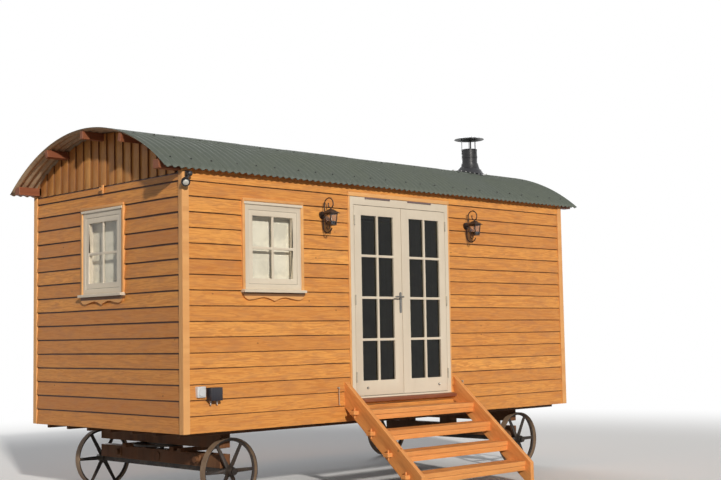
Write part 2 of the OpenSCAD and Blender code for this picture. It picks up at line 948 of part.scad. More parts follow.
// The flue stands on a curved flashing sheet and a flared skirt, under a cowl on three stays
module flue_stack() {
    roof_top = arch_z + sqrt(pow(roof_r, 2) - pow(half_w - flue_y, 2));
    pipe_top = 3130;
    cowl_z = 3255;
    color("black") on_ground() translate([flue_x, flue_y, 0]) {
        difference() {
            union() {
                translate([0, 0, roof_top - 130])
                    cylinder(r = flue_r, h = pipe_top - roof_top + 130, $fn = 64);
                translate([0, 0, roof_top - 20]) cylinder(r1 = 150, r2 = flue_r + 4, h = 130, $fn = 64);
            }
            translate([0, 0, roof_top - 140]) cylinder(r = flue_r - 4, h = 600, $fn = 64);
            translate([-flue_x, -flue_y, 0]) difference() {
                below_arch(roof_r, flue_x - 200, flue_x + 200);
                translate([flue_x, flue_y, 0]) cylinder(r = flue_r, h = 4000, $fn = 64);
            }
        }
        translate([0, 0, cowl_z]) cylinder(r1 = 183, r2 = 60, h = 40, $fn = 64);
        for (turn = [30 : 120 : 270])
            rotate([0, 0, turn]) translate([flue_r - 2, -8, pipe_top - 60])
                cube([4, 16, cowl_z - pipe_top + 62]);
    }
    color("darkslategray") on_ground() difference() {
        intersection() {
            below_arch(roof_r + 2.5, flue_x - 310, flue_x + 310);
            block([flue_x - 310, flue_y - 200, eave_z], [flue_x + 310, flue_y + 200, 3200]);
        }
        below_arch(roof_r, flue_x - 311, flue_x + 311);
        translate([flue_x, flue_y, eave_z]) cylinder(r = flue_r - 4, h = 900, $fn = 64);
    }
}

// A square frustum, given the widths of its lower and upper side
module frustum(low_w, high_w, h) {
    rotate([0, 0, 45]) cylinder(r1 = low_w / sqrt(2), r2 = high_w / sqrt(2), h = h, $fn = 4);
}

// The case of a lantern: four leaning bars between a base and a brimmed cap, round a lamp holder
module lantern_case() {
    low_w = 78;
    high_w = 96;
    brim_w = 130;
    case_h = 120;
    bar = 9;
    lean = (high_w - low_w) / 2;
    window_low = low_w / 2 - bar;
    window_up = case_h - 26;
    difference() {
        frustum(low_w, high_w, case_h);
        translate([0, 0, 6]) frustum(low_w - 2 * bar, high_w - 2 * bar, case_h);
        translate([0, 0, 14]) for (turn = [0, 90])
            rotate([90, 0, turn]) translate([0, 0, -high_w]) linear_extrude(2 * high_w)
                polygon([
                    [-window_low, 0], [window_low, 0],
                    [window_low + lean, window_up], [-window_low - lean, window_up]
                ]);
    }
    bar_z(11, 2, 44);
    bar_z(7, 40, 96);
    translate([0, 0, case_h - 1]) frustum(brim_w, brim_w, 6);
    translate([0, 0, case_h + 4]) frustum(brim_w - 8, 30, 39);
    bar_z(10, case_h + 40, case_h + 52);
}

// A wall lantern: a round boss, a crook that curls over the case and carries it, and a scroll below
module lantern() {
    boss_z = 48;
    tube_r = 6;
    curl_r = 4.5;
    crook = [-97, 147];
    crook_r = 64;
    hook_r = 36;
    scroll = [-76, -66];
    scroll_r = 66;
    loop = [-83, -76];
    loop_r = 21;
    case_y = -125;
    case_z = -64;
    translate([0, 0, boss_z]) {
        bar_y(38, -6, board_t);
        bar_y(26, -14, 0);
        bar_y(9, crook[0] + crook_r, 0);
    }
    translate([0, crook[0] + crook_r, 0]) bar_z(tube_r, boss_z - 6, crook[1]);
    translate([0, crook[0], crook[1]]) bent_bar(crook_r, tube_r, 0, 180);
    translate([0, crook[0] - crook_r + hook_r, crook[1]]) bent_bar(hook_r, tube_r, 180, 385);
    translate([0, scroll[0] + scroll_r, 0]) bar_z(tube_r, scroll[1], boss_z);
    translate([0, scroll[0] + scroll_r, scroll[1]]) sphere(r = tube_r + 1.5, $fn = 48);
    translate([0, scroll[0], scroll[1]]) bent_bar(scroll_r, tube_r, -160, 0);
    translate([0, loop[0], loop[1]]) bent_bar(loop_r, curl_r, -180, 20);
    translate([0, loop[0] - loop_r, 0]) bar_z(curl_r, loop[1], case_z + 1);
    translate([0, case_y, case_z]) lantern_case();
}

module lanterns() {
    color("darkgoldenrod") on_ground()
        for (x = [1693, 3857])
            translate([x, 0, 2000]) lantern();
}

// A lead leaves a gland downwards and bends into the wall
module inlet_lead(x, box_low) {
    lead_r = 5;
    bend_r = 28;
    gland_h = 14;
    intersection() {
        translate([x, -20, box_low - gland_h]) rotate([0, 0, -40]) {
            bar_z(9, -1, gland_h + 2);
            translate([0, bend_r, 0]) bent_bar(bend_r, lead_r, -180, -90);
            translate([0, 0, -bend_r]) bar_y(lead_r, bend_r, 3 * bend_r);
        }
        block([0, -100, 0], [1000, board_t, 1000]);
    }
}

// A pale inlet with a round cap, and a dark box beside it with two leads
module inlet_boxes() {
    box_low = 287;
    color("gray") on_ground() {
        block([141, -22, 320], [234, board_t, 418]);
        translate([188, 0, 369]) bar_y(36, -28, -20);
        block([256, -72, box_low], [384, board_t, 406]);
        for (x = [283, 357])
            inlet_lead(x, box_low);
    }
}

// A corner light: a back block with a round sensor, and a lamp head that looks down and outwards
module security_light() {
    sensor_r = 27;
    head_r = 40;
    color("dimgray") on_ground() translate([48, 0, 2326]) {
        block([-22, -18, -30], [22, 0, 28]);
        bar_y(11, -46, -10);
        translate([0, -46, 0]) sphere(r = sensor_r, $fn = 48);
        translate([-51, -50, -76]) rotate([0, 34, 0]) bar_z(8, 0, 92);
        translate([-51, -54, -76]) rotate([115, 0, -28]) {
            translate([0, 0, -34]) cylinder(r1 = head_r - 16, r2 = head_r, h = 30, $fn = 48);
            translate([0, 0, -4]) cylinder(r = head_r, h = 26, $fn = 48);
            cylinder(r = head_r - 11, h = 30, $fn = 48);
        }
    }
}

floor_deck();
floor_joists();
front_bolster();
turntable_plate();
front_axle_bed();
front_axle_iron();
rear_axle_bed();
rear_axle_iron();
wheel_front_near();
wheel_front_far();
wheel_rear_near();
wheel_rear_far();
door_wall_left();
door_wall_right();
door_wall_infill();
back_wall();
front_end_wall();
rear_end_wall();
front_gable();
rear_gable();
roof_sheets_a();
roof_sheets_b();
roof_purlins();
ceiling_lining();
corner_trims();
window_frames();
window_sashes();
window_glass();
window_sills();
window_aprons();
window_blinds();
door_frame();
door_sill();
left_leaf();
right_leaf();
left_glass();
right_glass();
handle_plates();
door_lever();
frame_hinges();
left_hinges();
right_hinges();
stair_stringers();
stair_treads();
stair_pegs();
cabin_hooks();
flue_stack();
lanterns();
inlet_boxes();
security_light();
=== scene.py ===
import json
import math
import random

import bmesh
import bpy
from mathutils import Matrix, Vector, noise

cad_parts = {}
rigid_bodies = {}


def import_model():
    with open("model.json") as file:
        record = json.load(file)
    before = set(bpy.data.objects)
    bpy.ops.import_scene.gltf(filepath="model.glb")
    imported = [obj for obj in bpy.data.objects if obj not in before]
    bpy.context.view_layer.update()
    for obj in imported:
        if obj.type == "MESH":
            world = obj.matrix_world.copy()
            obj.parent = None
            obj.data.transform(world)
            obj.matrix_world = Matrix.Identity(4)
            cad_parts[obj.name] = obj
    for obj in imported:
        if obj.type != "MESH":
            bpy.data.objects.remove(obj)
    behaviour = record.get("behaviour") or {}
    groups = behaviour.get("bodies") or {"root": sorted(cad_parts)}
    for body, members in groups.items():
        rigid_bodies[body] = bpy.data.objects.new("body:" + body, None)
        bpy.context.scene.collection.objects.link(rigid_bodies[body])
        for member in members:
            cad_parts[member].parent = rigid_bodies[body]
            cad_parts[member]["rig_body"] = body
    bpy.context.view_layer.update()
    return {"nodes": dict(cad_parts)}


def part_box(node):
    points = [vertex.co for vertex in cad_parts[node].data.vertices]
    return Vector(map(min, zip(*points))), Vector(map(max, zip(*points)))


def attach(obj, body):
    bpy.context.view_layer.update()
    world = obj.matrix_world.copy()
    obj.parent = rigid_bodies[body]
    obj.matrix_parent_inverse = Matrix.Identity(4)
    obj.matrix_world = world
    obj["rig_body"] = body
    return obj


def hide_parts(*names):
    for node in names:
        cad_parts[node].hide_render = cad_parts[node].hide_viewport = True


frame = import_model()
nodes = frame["nodes"]

# Everything below is drawn in the hut's own metres: X from the front end, Y from the door side,
# Z from the lower edge of the boards. finishPiece moves it to the place of the frame.
hutLow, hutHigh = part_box("corner_trims")
hutLength = hutHigh.x - hutLow.x
hutWidth = hutHigh.y - hutLow.y


# Helpers for shapes

def hutBox(node):
    return [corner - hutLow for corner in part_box(node)]


def placed(place, angle=0.0, axis="Z"):
    return Matrix.Translation(place) @ Matrix.Rotation(angle, 4, axis)


def addBlock(bm, low, high):
    low, high = Vector(low), Vector(high)
    matrix = Matrix.Translation((low + high) / 2) @ Matrix.Diagonal((*(high - low), 1))
    return bmesh.ops.create_cube(bm, size=1, matrix=matrix)["verts"]


def addRod(bm, start, end, radius, segments):
    start, end = Vector(start), Vector(end)
    turn = (end - start).to_track_quat("Z", "Y").to_matrix().to_4x4()
    bmesh.ops.create_cone(bm, cap_ends=True, segments=segments, radius1=radius, radius2=radius,
                          depth=(end - start).length, matrix=Matrix.Translation((start + end) / 2) @ turn)


def addTurned(target, profile, matrix, segments):  # a closed profile gives a closed shell
    bm = bmesh.new()
    ring = [bm.verts.new((radius, 0, height)) for radius, height in profile]
    for pair in zip(ring, ring[1:]):
        bm.edges.new(pair)
    spinInto(target, bm, matrix, segments)


def spinInto(target, bm, matrix, segments):  # spins the outline that bm holds round Z
    bmesh.ops.spin(bm, geom=bm.verts[:] + bm.edges[:], cent=(0, 0, 0), axis=(0, 0, 1), angle=math.tau,
                   steps=segments, use_merge=True)
    bmesh.ops.remove_doubles(bm, verts=bm.verts, dist=1e-6)
    bmesh.ops.recalc_face_normals(bm, faces=bm.faces)
    joinInto(target, bm, matrix)


def cutAt(bm, place, direction):
    bmesh.ops.bisect_plane(bm, geom=bm.verts[:] + bm.edges[:] + bm.faces[:], plane_co=place,
                           plane_no=direction)


def roundEdges(bm, offset, segments=2, angle=35, shortest=0.008, along=None):
    edgeLayer = faceLayer(bm, "edge")
    sharp = [e for e in bm.edges if len(e.link_faces) == 2 and e.calc_length() > shortest
             and e.calc_face_angle(0) > math.radians(angle)]
    if along:
        sharp = [e for e in sharp
                 if abs((e.verts[1].co - e.verts[0].co).normalized().dot(Vector(along))) > 0.9]
    made = bmesh.ops.bevel(bm, geom=sharp, offset=offset, segments=segments, profile=0.5,
                           affect="EDGES", material=-1, clamp_overlap=False)
    for face in made["faces"]:
        face[edgeLayer] = 1.0


def faceLayer(bm, name):
    return bm.faces.layers.float.get(name) or bm.faces.layers.float.new(name)


def grainLayer(bm):
    return bm.loops.layers.uv.get("grain") or bm.loops.layers.uv.new("grain")


def newTimber():  # a bmesh with the layers that the timber finishes read
    bm = bmesh.new()
    grainLayer(bm)
    for name in ("tone", "edge", "under"):
        faceLayer(bm, name)
    # a layer for the painted shadow
    bm.verts.layers.float.new("grime")
    return bm


def markUnder(bm, direction, amount):  # painted shade on the faces that look this way, such as a board's underside or the thick edge of a gable board
    layer = faceLayer(bm, "under")
    for face in bm.faces:
        if face.normal.dot(Vector(direction)) > 0.5:
            face[layer] = amount


def stampGrain(bm, faces, along, tone, shift):  # U runs along the timber, V goes round it, in metres
    uvLayer, toneLayer = grainLayer(bm), faceLayer(bm, "tone")
    along = Vector(along).normalized()
    slanted = 0.01 <= abs(along.z) <= 0.99
    side = (along.cross(Vector((1, 0, 0))) if slanted else along.orthogonal()).normalized()
    across = side + along.cross(side)
    for face in faces:
        face[toneLayer] = tone
        for loop in face.loops:
            spot = loop.vert.co
            loop[uvLayer].uv = (spot.dot(along) + shift, spot.dot(across) + shift * 0.37)


def joinInto(target, part, matrix):
    mesh = bpy.data.meshes.new("part")
    bmesh.ops.transform(part, matrix=matrix, verts=part.verts)
    if matrix.determinant() < 0:
        bmesh.ops.reverse_faces(part, faces=part.faces)
    part.to_mesh(mesh)
    part.free()
    target.from_mesh(mesh)
    bpy.data.meshes.remove(mesh)


def addObject(name, data):
    thing = bpy.data.objects.new(name, data)
    bpy.context.scene.collection.objects.link(thing)
    return thing


def finishPiece(name, bm, coats, body="hut", replaces=(), smoothAngle=25):
    bmesh.ops.translate(bm, verts=bm.verts, vec=hutLow)
    mesh = bpy.data.meshes.new(name)
    bm.to_mesh(mesh)
    bm.free()
    for coat in coats:
        mesh.materials.append(finishes[coat])
    mesh.shade_smooth()
    mesh.set_sharp_from_angle(angle=math.radians(smoothAngle))
    piece = addObject(name, mesh)
    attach(piece, body)
    if replaces:
        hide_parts(*replaces)
    return piece


def islandsOf(bm):  # groups of faces that hang together, in the mesh's own order
    found = set()
    for first in bm.faces:
        if first in found:
            continue
        found.add(first)
        group = [first]
        for face in group:
            for edge in face.edges:
                for other in edge.link_faces:
                    if other not in found:
                        found.add(other)
                        group.append(other)
        yield group


def nodeCopy(node):
    bm = newTimber()
    bm.from_mesh(nodes[node].data)
    bmesh.ops.translate(bm, verts=bm.verts, vec=-hutLow)
    bmesh.ops.remove_doubles(bm, verts=bm.verts, dist=2e-5)
    bmesh.ops.dissolve_limit(bm, angle_limit=math.radians(1), verts=bm.verts, edges=bm.edges)
    for face in bm.faces:
        face.material_index = 0
    return bm


def dressNode(node, coats, edge, tones=(0.3, 0.7), along=None, pick=None, segments=2,
              paintedShade=None):  # pick chooses a face's finish, and the shade test marks faces for painted shade, both by its centre
    bm = nodeCopy(node)
    rng = random.Random(len(node) * 101)
    for group in islandsOf(bm):
        longest = max((e for f in group for e in f.edges), key=lambda e: e.calc_length())
        direction = along or (longest.verts[1].co - longest.verts[0].co)
        stampGrain(bm, group, direction, rng.uniform(*tones), rng.uniform(0, 40))
    if pick:
        for face in bm.faces:
            face.material_index = pick(face.calc_center_median())
    roundEdges(bm, edge, segments)
    # painted shade on the faces that the test picks
    if paintedShade:
        layer = faceLayer(bm, "under")
        for face in bm.faces:
            face[layer] = 1.0 if paintedShade(face.calc_center_median()) else 0.0
    return finishPiece(node + "_dressed", bm, coats, nodes[node]["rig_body"], [node])


# The roof's arch, which the gables and the flue follow too

roofShape = {
    "radius": 2.180,  # over the crests
    "halfWidth": 1.395,
    "sheets": 8,
    "waves": 10,  # in one sheet
    "pitch": 0.0762,
    "waveHeight": 0.018,
    "thickness": 0.0025,
    "lapLift": 0.0022,
    "stepsPerWave": 12,
    "stepsOverArch": 40,
    "screwWaves": (2, 5, 8),  # of each sheet
    "purlinOut": 0.675,  # from the middle to the outer purlins
    "wallIn": 0.06,  # from the outside to the screws over the walls
    "screwHead": (0.0062, 0.010),  # radius and height
    "screwWasher": (0.0105, 0.004),
}
roofLow, roofHigh = hutBox("roof_sheets_a")
archZ = roofHigh.z - roofShape["radius"]
print("frame loaded:", len(nodes), "nodes, hut", round(hutLength, 3), "by", round(hutWidth, 3))


def roofPoint(x, angle, radius):  # angle from the crest towards the door side, in radians
    return Vector((x, hutWidth / 2 - radius * math.sin(angle), archZ + radius * math.cos(angle)))


# Helpers for finishes

def srgb(*colour):
    def toLinear(value):
        value /= 255
        return value / 12.92 if value <= 0.04045 else ((value + 0.055) / 1.055) ** 2.4
    return tuple(toLinear(value) for value in colour) + (1.0,)


def addNode(tree, kind, sockets=None, **settings):  # a colour of three numbers is sRGB up to 255
    node = tree.nodes.new(kind)
    for key, value in settings.items():
        setattr(node, key, value)
    for key, value in (sockets or {}).items():
        if isinstance(value, bpy.types.NodeSocket):
            tree.links.new(value, node.inputs[key])
        elif node.inputs[key].type == "RGBA" and len(value) == 3:
            node.inputs[key].default_value = srgb(*value)
        else:
            node.inputs[key].default_value = value
    return node


def effect(kind, sockets, **settings):  # a node in the tree of the sockets that feed it
    tree = next(value.id_data for value in sockets.values() if isinstance(value, bpy.types.NodeSocket))
    return addNode(tree, kind, sockets, **settings).outputs


def maths(operation, *values):
    return effect("ShaderNodeMath", dict(enumerate(values)), operation=operation)[0]


def times(first, second):
    return maths("MULTIPLY", first, second)


def spread(value, low, high, toLow=0.0, toHigh=1.0):  # a soft step from low to high
    sockets = {"Value": value, "From Min": low, "From Max": high, "To Min": toLow, "To Max": toHigh}
    return effect("ShaderNodeMapRange", sockets, interpolation_type="SMOOTHSTEP")["Result"]


def mixColour(factor, first, second):
    return effect("ShaderNodeMix", {0: factor, 6: first, 7: second}, data_type="RGBA")[2]


def tinted(colour, toward, mask, amount):
    return mixColour(times(mask, amount), colour, toward)


def ramp(factor, stops):
    node = addNode(factor.id_data, "ShaderNodeValToRGB", {0: factor})
    elements = node.color_ramp.elements
    while len(elements) < len(stops):
        elements.new(0.5)
    for element, (position, colour) in zip(elements, stops):
        element.position, element.color = position, srgb(*colour)
    return node.outputs["Color"]


def scaled(vector, scale):
    return effect("ShaderNodeMapping", {"Vector": vector, "Scale": scale})[0]


def partsOf(vector):
    return effect("ShaderNodeSeparateXYZ", {0: vector})


def noiseOf(vector, scale, detail, roughness, distortion=0.0):
    sockets = {"Vector": vector, "Scale": scale, "Detail": detail, "Roughness": roughness,
               "Distortion": distortion}
    return effect("ShaderNodeTexNoise", sockets)[0]


def objectSpot(tree):
    return addNode(tree, "ShaderNodeTexCoord").outputs["Object"]


def grainSpot(tree):
    return addNode(tree, "ShaderNodeUVMap", uv_map="grain").outputs[0]


def layerOf(tree, name):
    return addNode(tree, "ShaderNodeAttribute", attribute_name=name).outputs["Fac"]


def newGroup(name, **inputs):  # a number is an input's value when nothing is linked, None a vector
    tree = bpy.data.node_groups.new(name, "ShaderNodeTree")
    for key, value in inputs.items():
        kind = "NodeSocketVector" if value is None else "NodeSocketFloat"
        socket = tree.interface.new_socket(name=key, in_out="INPUT", socket_type=kind)
        if value is not None:
            socket.default_value = value
    return tree, tree.nodes.new("NodeGroupInput").outputs


def closeGroup(tree, **results):
    for key in results:
        tree.interface.new_socket(name=key, in_out="OUTPUT", socket_type="NodeSocketFloat")
    addNode(tree, "NodeGroupOutput", results)
    return tree


def useGroup(group, **sockets):
    return effect("ShaderNodeGroup", sockets, node_tree=group)


finishes = {}  # by their names


def newFinish(name, **values):
    finish = finishes[name] = bpy.data.materials.new(name)
    finish.use_nodes = True
    tree = finish.node_tree
    tree.nodes.clear()
    sockets = {key.replace("_", " "): value for key, value in values.items()}
    shader = addNode(tree, "ShaderNodeBsdfPrincipled", sockets)
    addNode(tree, "ShaderNodeOutputMaterial", {"Surface": shader.outputs[0]})
    return tree, shader


def closeFinish(shader, colour, height, strength, distance, rough=None):
    links = shader.id_data.links
    links.new(colour, shader.inputs["Base Color"])
    if rough is not None:
        links.new(rough, shader.inputs["Roughness"])
    bump = effect("ShaderNodeBump", {"Height": height, "Strength": strength, "Distance": distance})
    links.new(bump[0], shader.inputs["Normal"])


# Shared effects

def makeWoodGrain():
    tree, given = newGroup("woodGrain", Vector=None, Seed=0.0, Fineness=1.0)
    parts = partsOf(given["Vector"])
    depth = times(given["Seed"], 61.0)
    spot = addNode(tree, "ShaderNodeCombineXYZ", {0: parts[0], 1: parts[1], 2: depth}).outputs[0]
    fine = times(given["Fineness"], 7.0)
    fibre = noiseOf(scaled(spot, (1.0, 24.0, 1.0)), fine, 5.0, 0.65, 0.15)
    figure = noiseOf(scaled(spot, (0.55, 6.0, 1.0)), 3.2, 3.0, 0.55, 0.5)
    rings = maths("ADD", times(figure, 11.0), times(parts[1], 30.0))
    rings = maths("SINE", times(rings, 3.0))
    rings = maths("MULTIPLY_ADD", rings, 0.5, 0.5)
    knots = addNode(tree, "ShaderNodeTexVoronoi", {"Vector": spot, "Scale": 2.6, "Randomness": 1.0},
                    voronoi_dimensions="2D").outputs
    near = spread(knots["Distance"], 0.040, 0.014)
    chosen = addNode(tree, "ShaderNodeSeparateColor", {0: knots["Color"]}).outputs[0]
    return closeGroup(
        tree, Fibre=fibre,
        Figure=maths("ADD", times(figure, 0.6), times(rings, 0.4)),
        Knot=times(near, maths("GREATER_THAN", chosen, 0.86)),
        Height=maths("ADD", times(fibre, 0.6), times(rings, 0.25)))


def makeWeather():  # slow patches and rain streaks, in hut metres
    tree, given = newGroup("weather", Position=None, Scale=1.0)
    falling = scaled(given["Position"], (9.0, 9.0, 0.7))
    return closeGroup(tree, Patches=noiseOf(given["Position"], given["Scale"], 4.0, 0.6, 0.3),
                      Streaks=noiseOf(falling, given["Scale"], 4.0, 0.6))


def makeBoardGaps():  # joints between boards of one width, and a number for each board
    tree, given = newGroup("boardGaps", Across=0.0, Width=0.1, Gap=0.03)
    place = maths("DIVIDE", given["Across"], given["Width"])
    share = maths("FRACT", place)
    fromEdge = maths("MINIMUM", share, maths("SUBTRACT", 1.0, share))
    number = addNode(tree, "ShaderNodeTexWhiteNoise", {"W": maths("FLOOR", place)},
                     noise_dimensions="1D").outputs["Value"]
    return closeGroup(tree, Gap=maths("LESS_THAN", fromEdge, given["Gap"]), Board=number)


woodGrain = makeWoodGrain()
weather = makeWeather()
boardGaps = makeBoardGaps()


# Finishes

def timberFinish(name, **changes):
    look = {**wallBoardLook, **changes}
    tree, shader = newFinish(name, Roughness=look["roughness"])
    uv, tone = grainSpot(tree), layerOf(tree, "tone")
    grain = useGroup(woodGrain, Vector=uv, Seed=tone, Fineness=1.0)
    aged = useGroup(weather, Position=objectSpot(tree), Scale=2.4)
    stains = noiseOf(scaled(uv, (1.6, 4.5, 1.0)), 2.4, 4.0, 0.6, 0.4)
    # painted shadow below laps and sills, and painted shade on the faces marked as under
    grime = maths("MAXIMUM", layerOf(tree, "grime"), layerOf(tree, "under"))
    masks = {
        "figure": spread(grain["Figure"], 0.35, 0.75),
        "fibre": spread(grain["Fibre"], 0.5, 0.78),
        "knot": grain["Knot"],
        "patch": spread(stains, 0.42, 0.70),
        "streak": spread(aged["Streaks"], 0.55, 0.72),
        "edge": layerOf(tree, "edge"),
        "grime": grime,
    }
    colour = ramp(tone, look["tones"])
    for layer, mask in masks.items():
        colour = tinted(colour, look[layer + "Colour"], mask, look[layer])
    rough = maths("MULTIPLY_ADD", grain["Fibre"], 0.25, look["roughness"] - 0.12)
    closeFinish(shader, colour, grain["Height"], look["relief"], 0.0012, rough)


wallBoardLook = {
    "roughness": 0.55, "relief": 0.35,
    "tones": [(0.0, (186, 120, 60)), (0.3, (212, 142, 70)), (0.6, (230, 158, 78)), (1.0, (246, 176, 92))],
    "figure": 0.50, "figureColour": (188, 110, 44),
    "fibre": 0.45, "fibreColour": (146, 82, 34),
    "knot": 0.5, "knotColour": (70, 34, 16),
    "patch": 0.50, "patchColour": (178, 118, 72),
    "streak": 0.03, "streakColour": (46, 16, 8),
    "edge": 0.25, "edgeColour": (228, 160, 98),
    # painted shadow and painted shade: how strong and how dark
    "grime": 0.95, "grimeColour": (46, 16, 8),
}
timberFinish("wallBoards")
timberFinish(
    "trims", tones=[(0.0, (222, 160, 96)), (0.5, (234, 172, 106)), (1.0, (242, 186, 120))],
    figure=0.22, fibre=0.22, patch=0.2, patchColour=(206, 148, 96))
timberFinish(
    "gableBoards", tones=[(0.0, (198, 132, 68)), (0.5, (218, 150, 76)), (1.0, (236, 170, 92))],
    figure=0.30, edge=0.4, edgeColour=(226, 172, 116))
timberFinish(
    "stepTimber", tones=[(0.0, (222, 146, 78)), (0.5, (232, 156, 86)), (1.0, (242, 170, 98))],
    figure=0.35, figureColour=(204, 120, 56), fibre=0.25, fibreColour=(178, 96, 42), patch=0.15,
    streak=0.05, edgeColour=(248, 196, 130))
timberFinish(
    "darkTimber", tones=[(0.0, (78, 46, 24)), (0.5, (104, 62, 32)), (1.0, (132, 84, 46))],
    roughness=0.75, relief=0.7, figure=0.4, figureColour=(62, 34, 16), fibreColour=(48, 26, 12),
    patch=0.4, patchColour=(120, 92, 66), edge=0.35, edgeColour=(150, 106, 66))
timberFinish(
    "redTimber", tones=[(0.0, (120, 66, 42)), (0.5, (136, 78, 48)), (1.0, (152, 92, 58))],
    roughness=0.6, figure=0.3, figureColour=(104, 52, 32), fibre=0.3, fibreColour=(98, 46, 26),
    patch=0.25, patchColour=(156, 98, 64), edge=0.3, edgeColour=(200, 124, 84))


def makeJoineryPaint():
    tree, shader = newFinish("joineryPaint", Roughness=0.38, Coat_Weight=0.15, Coat_Roughness=0.3)
    grain = useGroup(woodGrain, Vector=grainSpot(tree), Seed=0.3, Fineness=1.4)
    aged = useGroup(weather, Position=objectSpot(tree), Scale=2.2)
    patches = spread(aged["Patches"], 0.35, 0.7, 0.0, 0.5)
    colour = mixColour(patches, (224, 211, 190), (213, 199, 177))
    colour = tinted(colour, (186, 168, 142), spread(aged["Streaks"], 0.5, 0.75), 0.08)
    colour = tinted(colour, (234, 224, 205), layerOf(tree, "edge"), 0.35)
    # painted shade on marked faces, such as a sash's edges in the gap to its frame
    colour = tinted(colour, (96, 86, 66), layerOf(tree, "under"), 0.85)
    closeFinish(shader, colour, grain["Height"], 0.10, 0.001)


def makeRoofPaint(name, base, light, dark, roughness):
    tree, shader = newFinish(name, Roughness=roughness)
    spot = objectSpot(tree)
    aged = useGroup(weather, Position=spot, Scale=1.6)
    speckle = noiseOf(spot, 90.0, 3.0, 0.6)
    colour = mixColour(spread(aged["Patches"], 0.35, 0.7), base, light)
    colour = mixColour(spread(aged["Streaks"], 0.45, 0.75, 0.0, 0.45), colour, dark)
    colour = mixColour(spread(speckle, 0.6, 0.75, 0.0, 0.25), colour, light)
    rough = spread(aged["Patches"], 0.3, 0.7, roughness - 0.08, roughness + 0.1)
    closeFinish(shader, colour, speckle, 0.08, 0.001, rough)


def makeIron(name, base, worn, wear, metallic, roughness, rust=0.45):
    tree, shader = newFinish(name, Metallic=metallic, Roughness=roughness)
    spot = objectSpot(tree)
    pits = noiseOf(spot, 60.0, 5.0, 0.7)
    patches = noiseOf(spot, 7.0, 4.0, 0.6, 0.4)
    colour = mixColour(spread(patches, 0.4, 0.68, 0.0, wear), base, worn)
    colour = mixColour(spread(pits, 0.52, 0.7, 0.0, rust), colour, (92, 56, 34))
    rough = spread(pits, 0.3, 0.7, roughness - 0.12, roughness + 0.18)
    closeFinish(shader, colour, pits, 0.3, 0.0015, rough)


def makeMoulded(name, base, dust, roughness):
    tree, shader = newFinish(name, Roughness=roughness)
    spot = objectSpot(tree)
    aged = useGroup(weather, Position=spot, Scale=6.0)
    colour = mixColour(spread(aged["Streaks"], 0.4, 0.75, 0.0, 0.4), base, dust)
    closeFinish(shader, colour, noiseOf(spot, 240.0, 2.0, 0.5), 0.15, 0.0006)


def makeLining(name, base, lines, width, upright):
    tree, shader = newFinish(name, Roughness=0.5)
    spot = objectSpot(tree)
    parts = partsOf(spot)
    across = maths("ADD", parts[0], parts[1]) if upright else parts[1]
    joints = useGroup(boardGaps, Across=across, Width=width, Gap=0.03)
    stretched = scaled(spot, (6.0, 6.0, 0.6) if upright else (0.6, 9.0, 9.0))
    fibres = noiseOf(stretched, 12.0, 4.0, 0.6)
    colour = tinted(base, lines, joints["Board"], 0.25)
    colour = mixColour(spread(fibres, 0.5, 0.75, 0.0, 0.22), colour, lines)
    colour = tinted(colour, lines, joints["Gap"], 0.7)
    closeFinish(shader, colour, maths("SUBTRACT", 1.0, joints["Gap"]), 0.6, 0.003)


def makeGlass(name, tint, roughness, ior):  # a low ior keeps a pane's reflections faint
    tree, shader = newFinish(name, Roughness=roughness, IOR=ior, Transmission_Weight=1.0)
    smear = useGroup(weather, Position=objectSpot(tree), Scale=3.0)
    dull = [value * 0.8 for value in tint]
    colour = mixColour(spread(smear["Patches"], 0.4, 0.7), (*tint, 1.0), (*dull, 1.0))
    tree.links.new(colour, shader.inputs["Base Color"])


def makeBlindCloth():
    tree, shader = newFinish("blindCloth", Roughness=0.9, Sheen_Weight=0.05)
    threads = {"Vector": grainSpot(tree), "Scale": 260.0, "Distortion": 0.6, "Detail": 1.0}
    warp, weft = (addNode(tree, "ShaderNodeTexWave", threads, bands_direction=way).outputs["Fac"]
                  for way in "XY")
    weave = times(warp, weft)
    colour = tinted((234, 229, 211), (208, 202, 182), weave, 0.25)
    closeFinish(shader, colour, weave, 0.2, 0.0006)


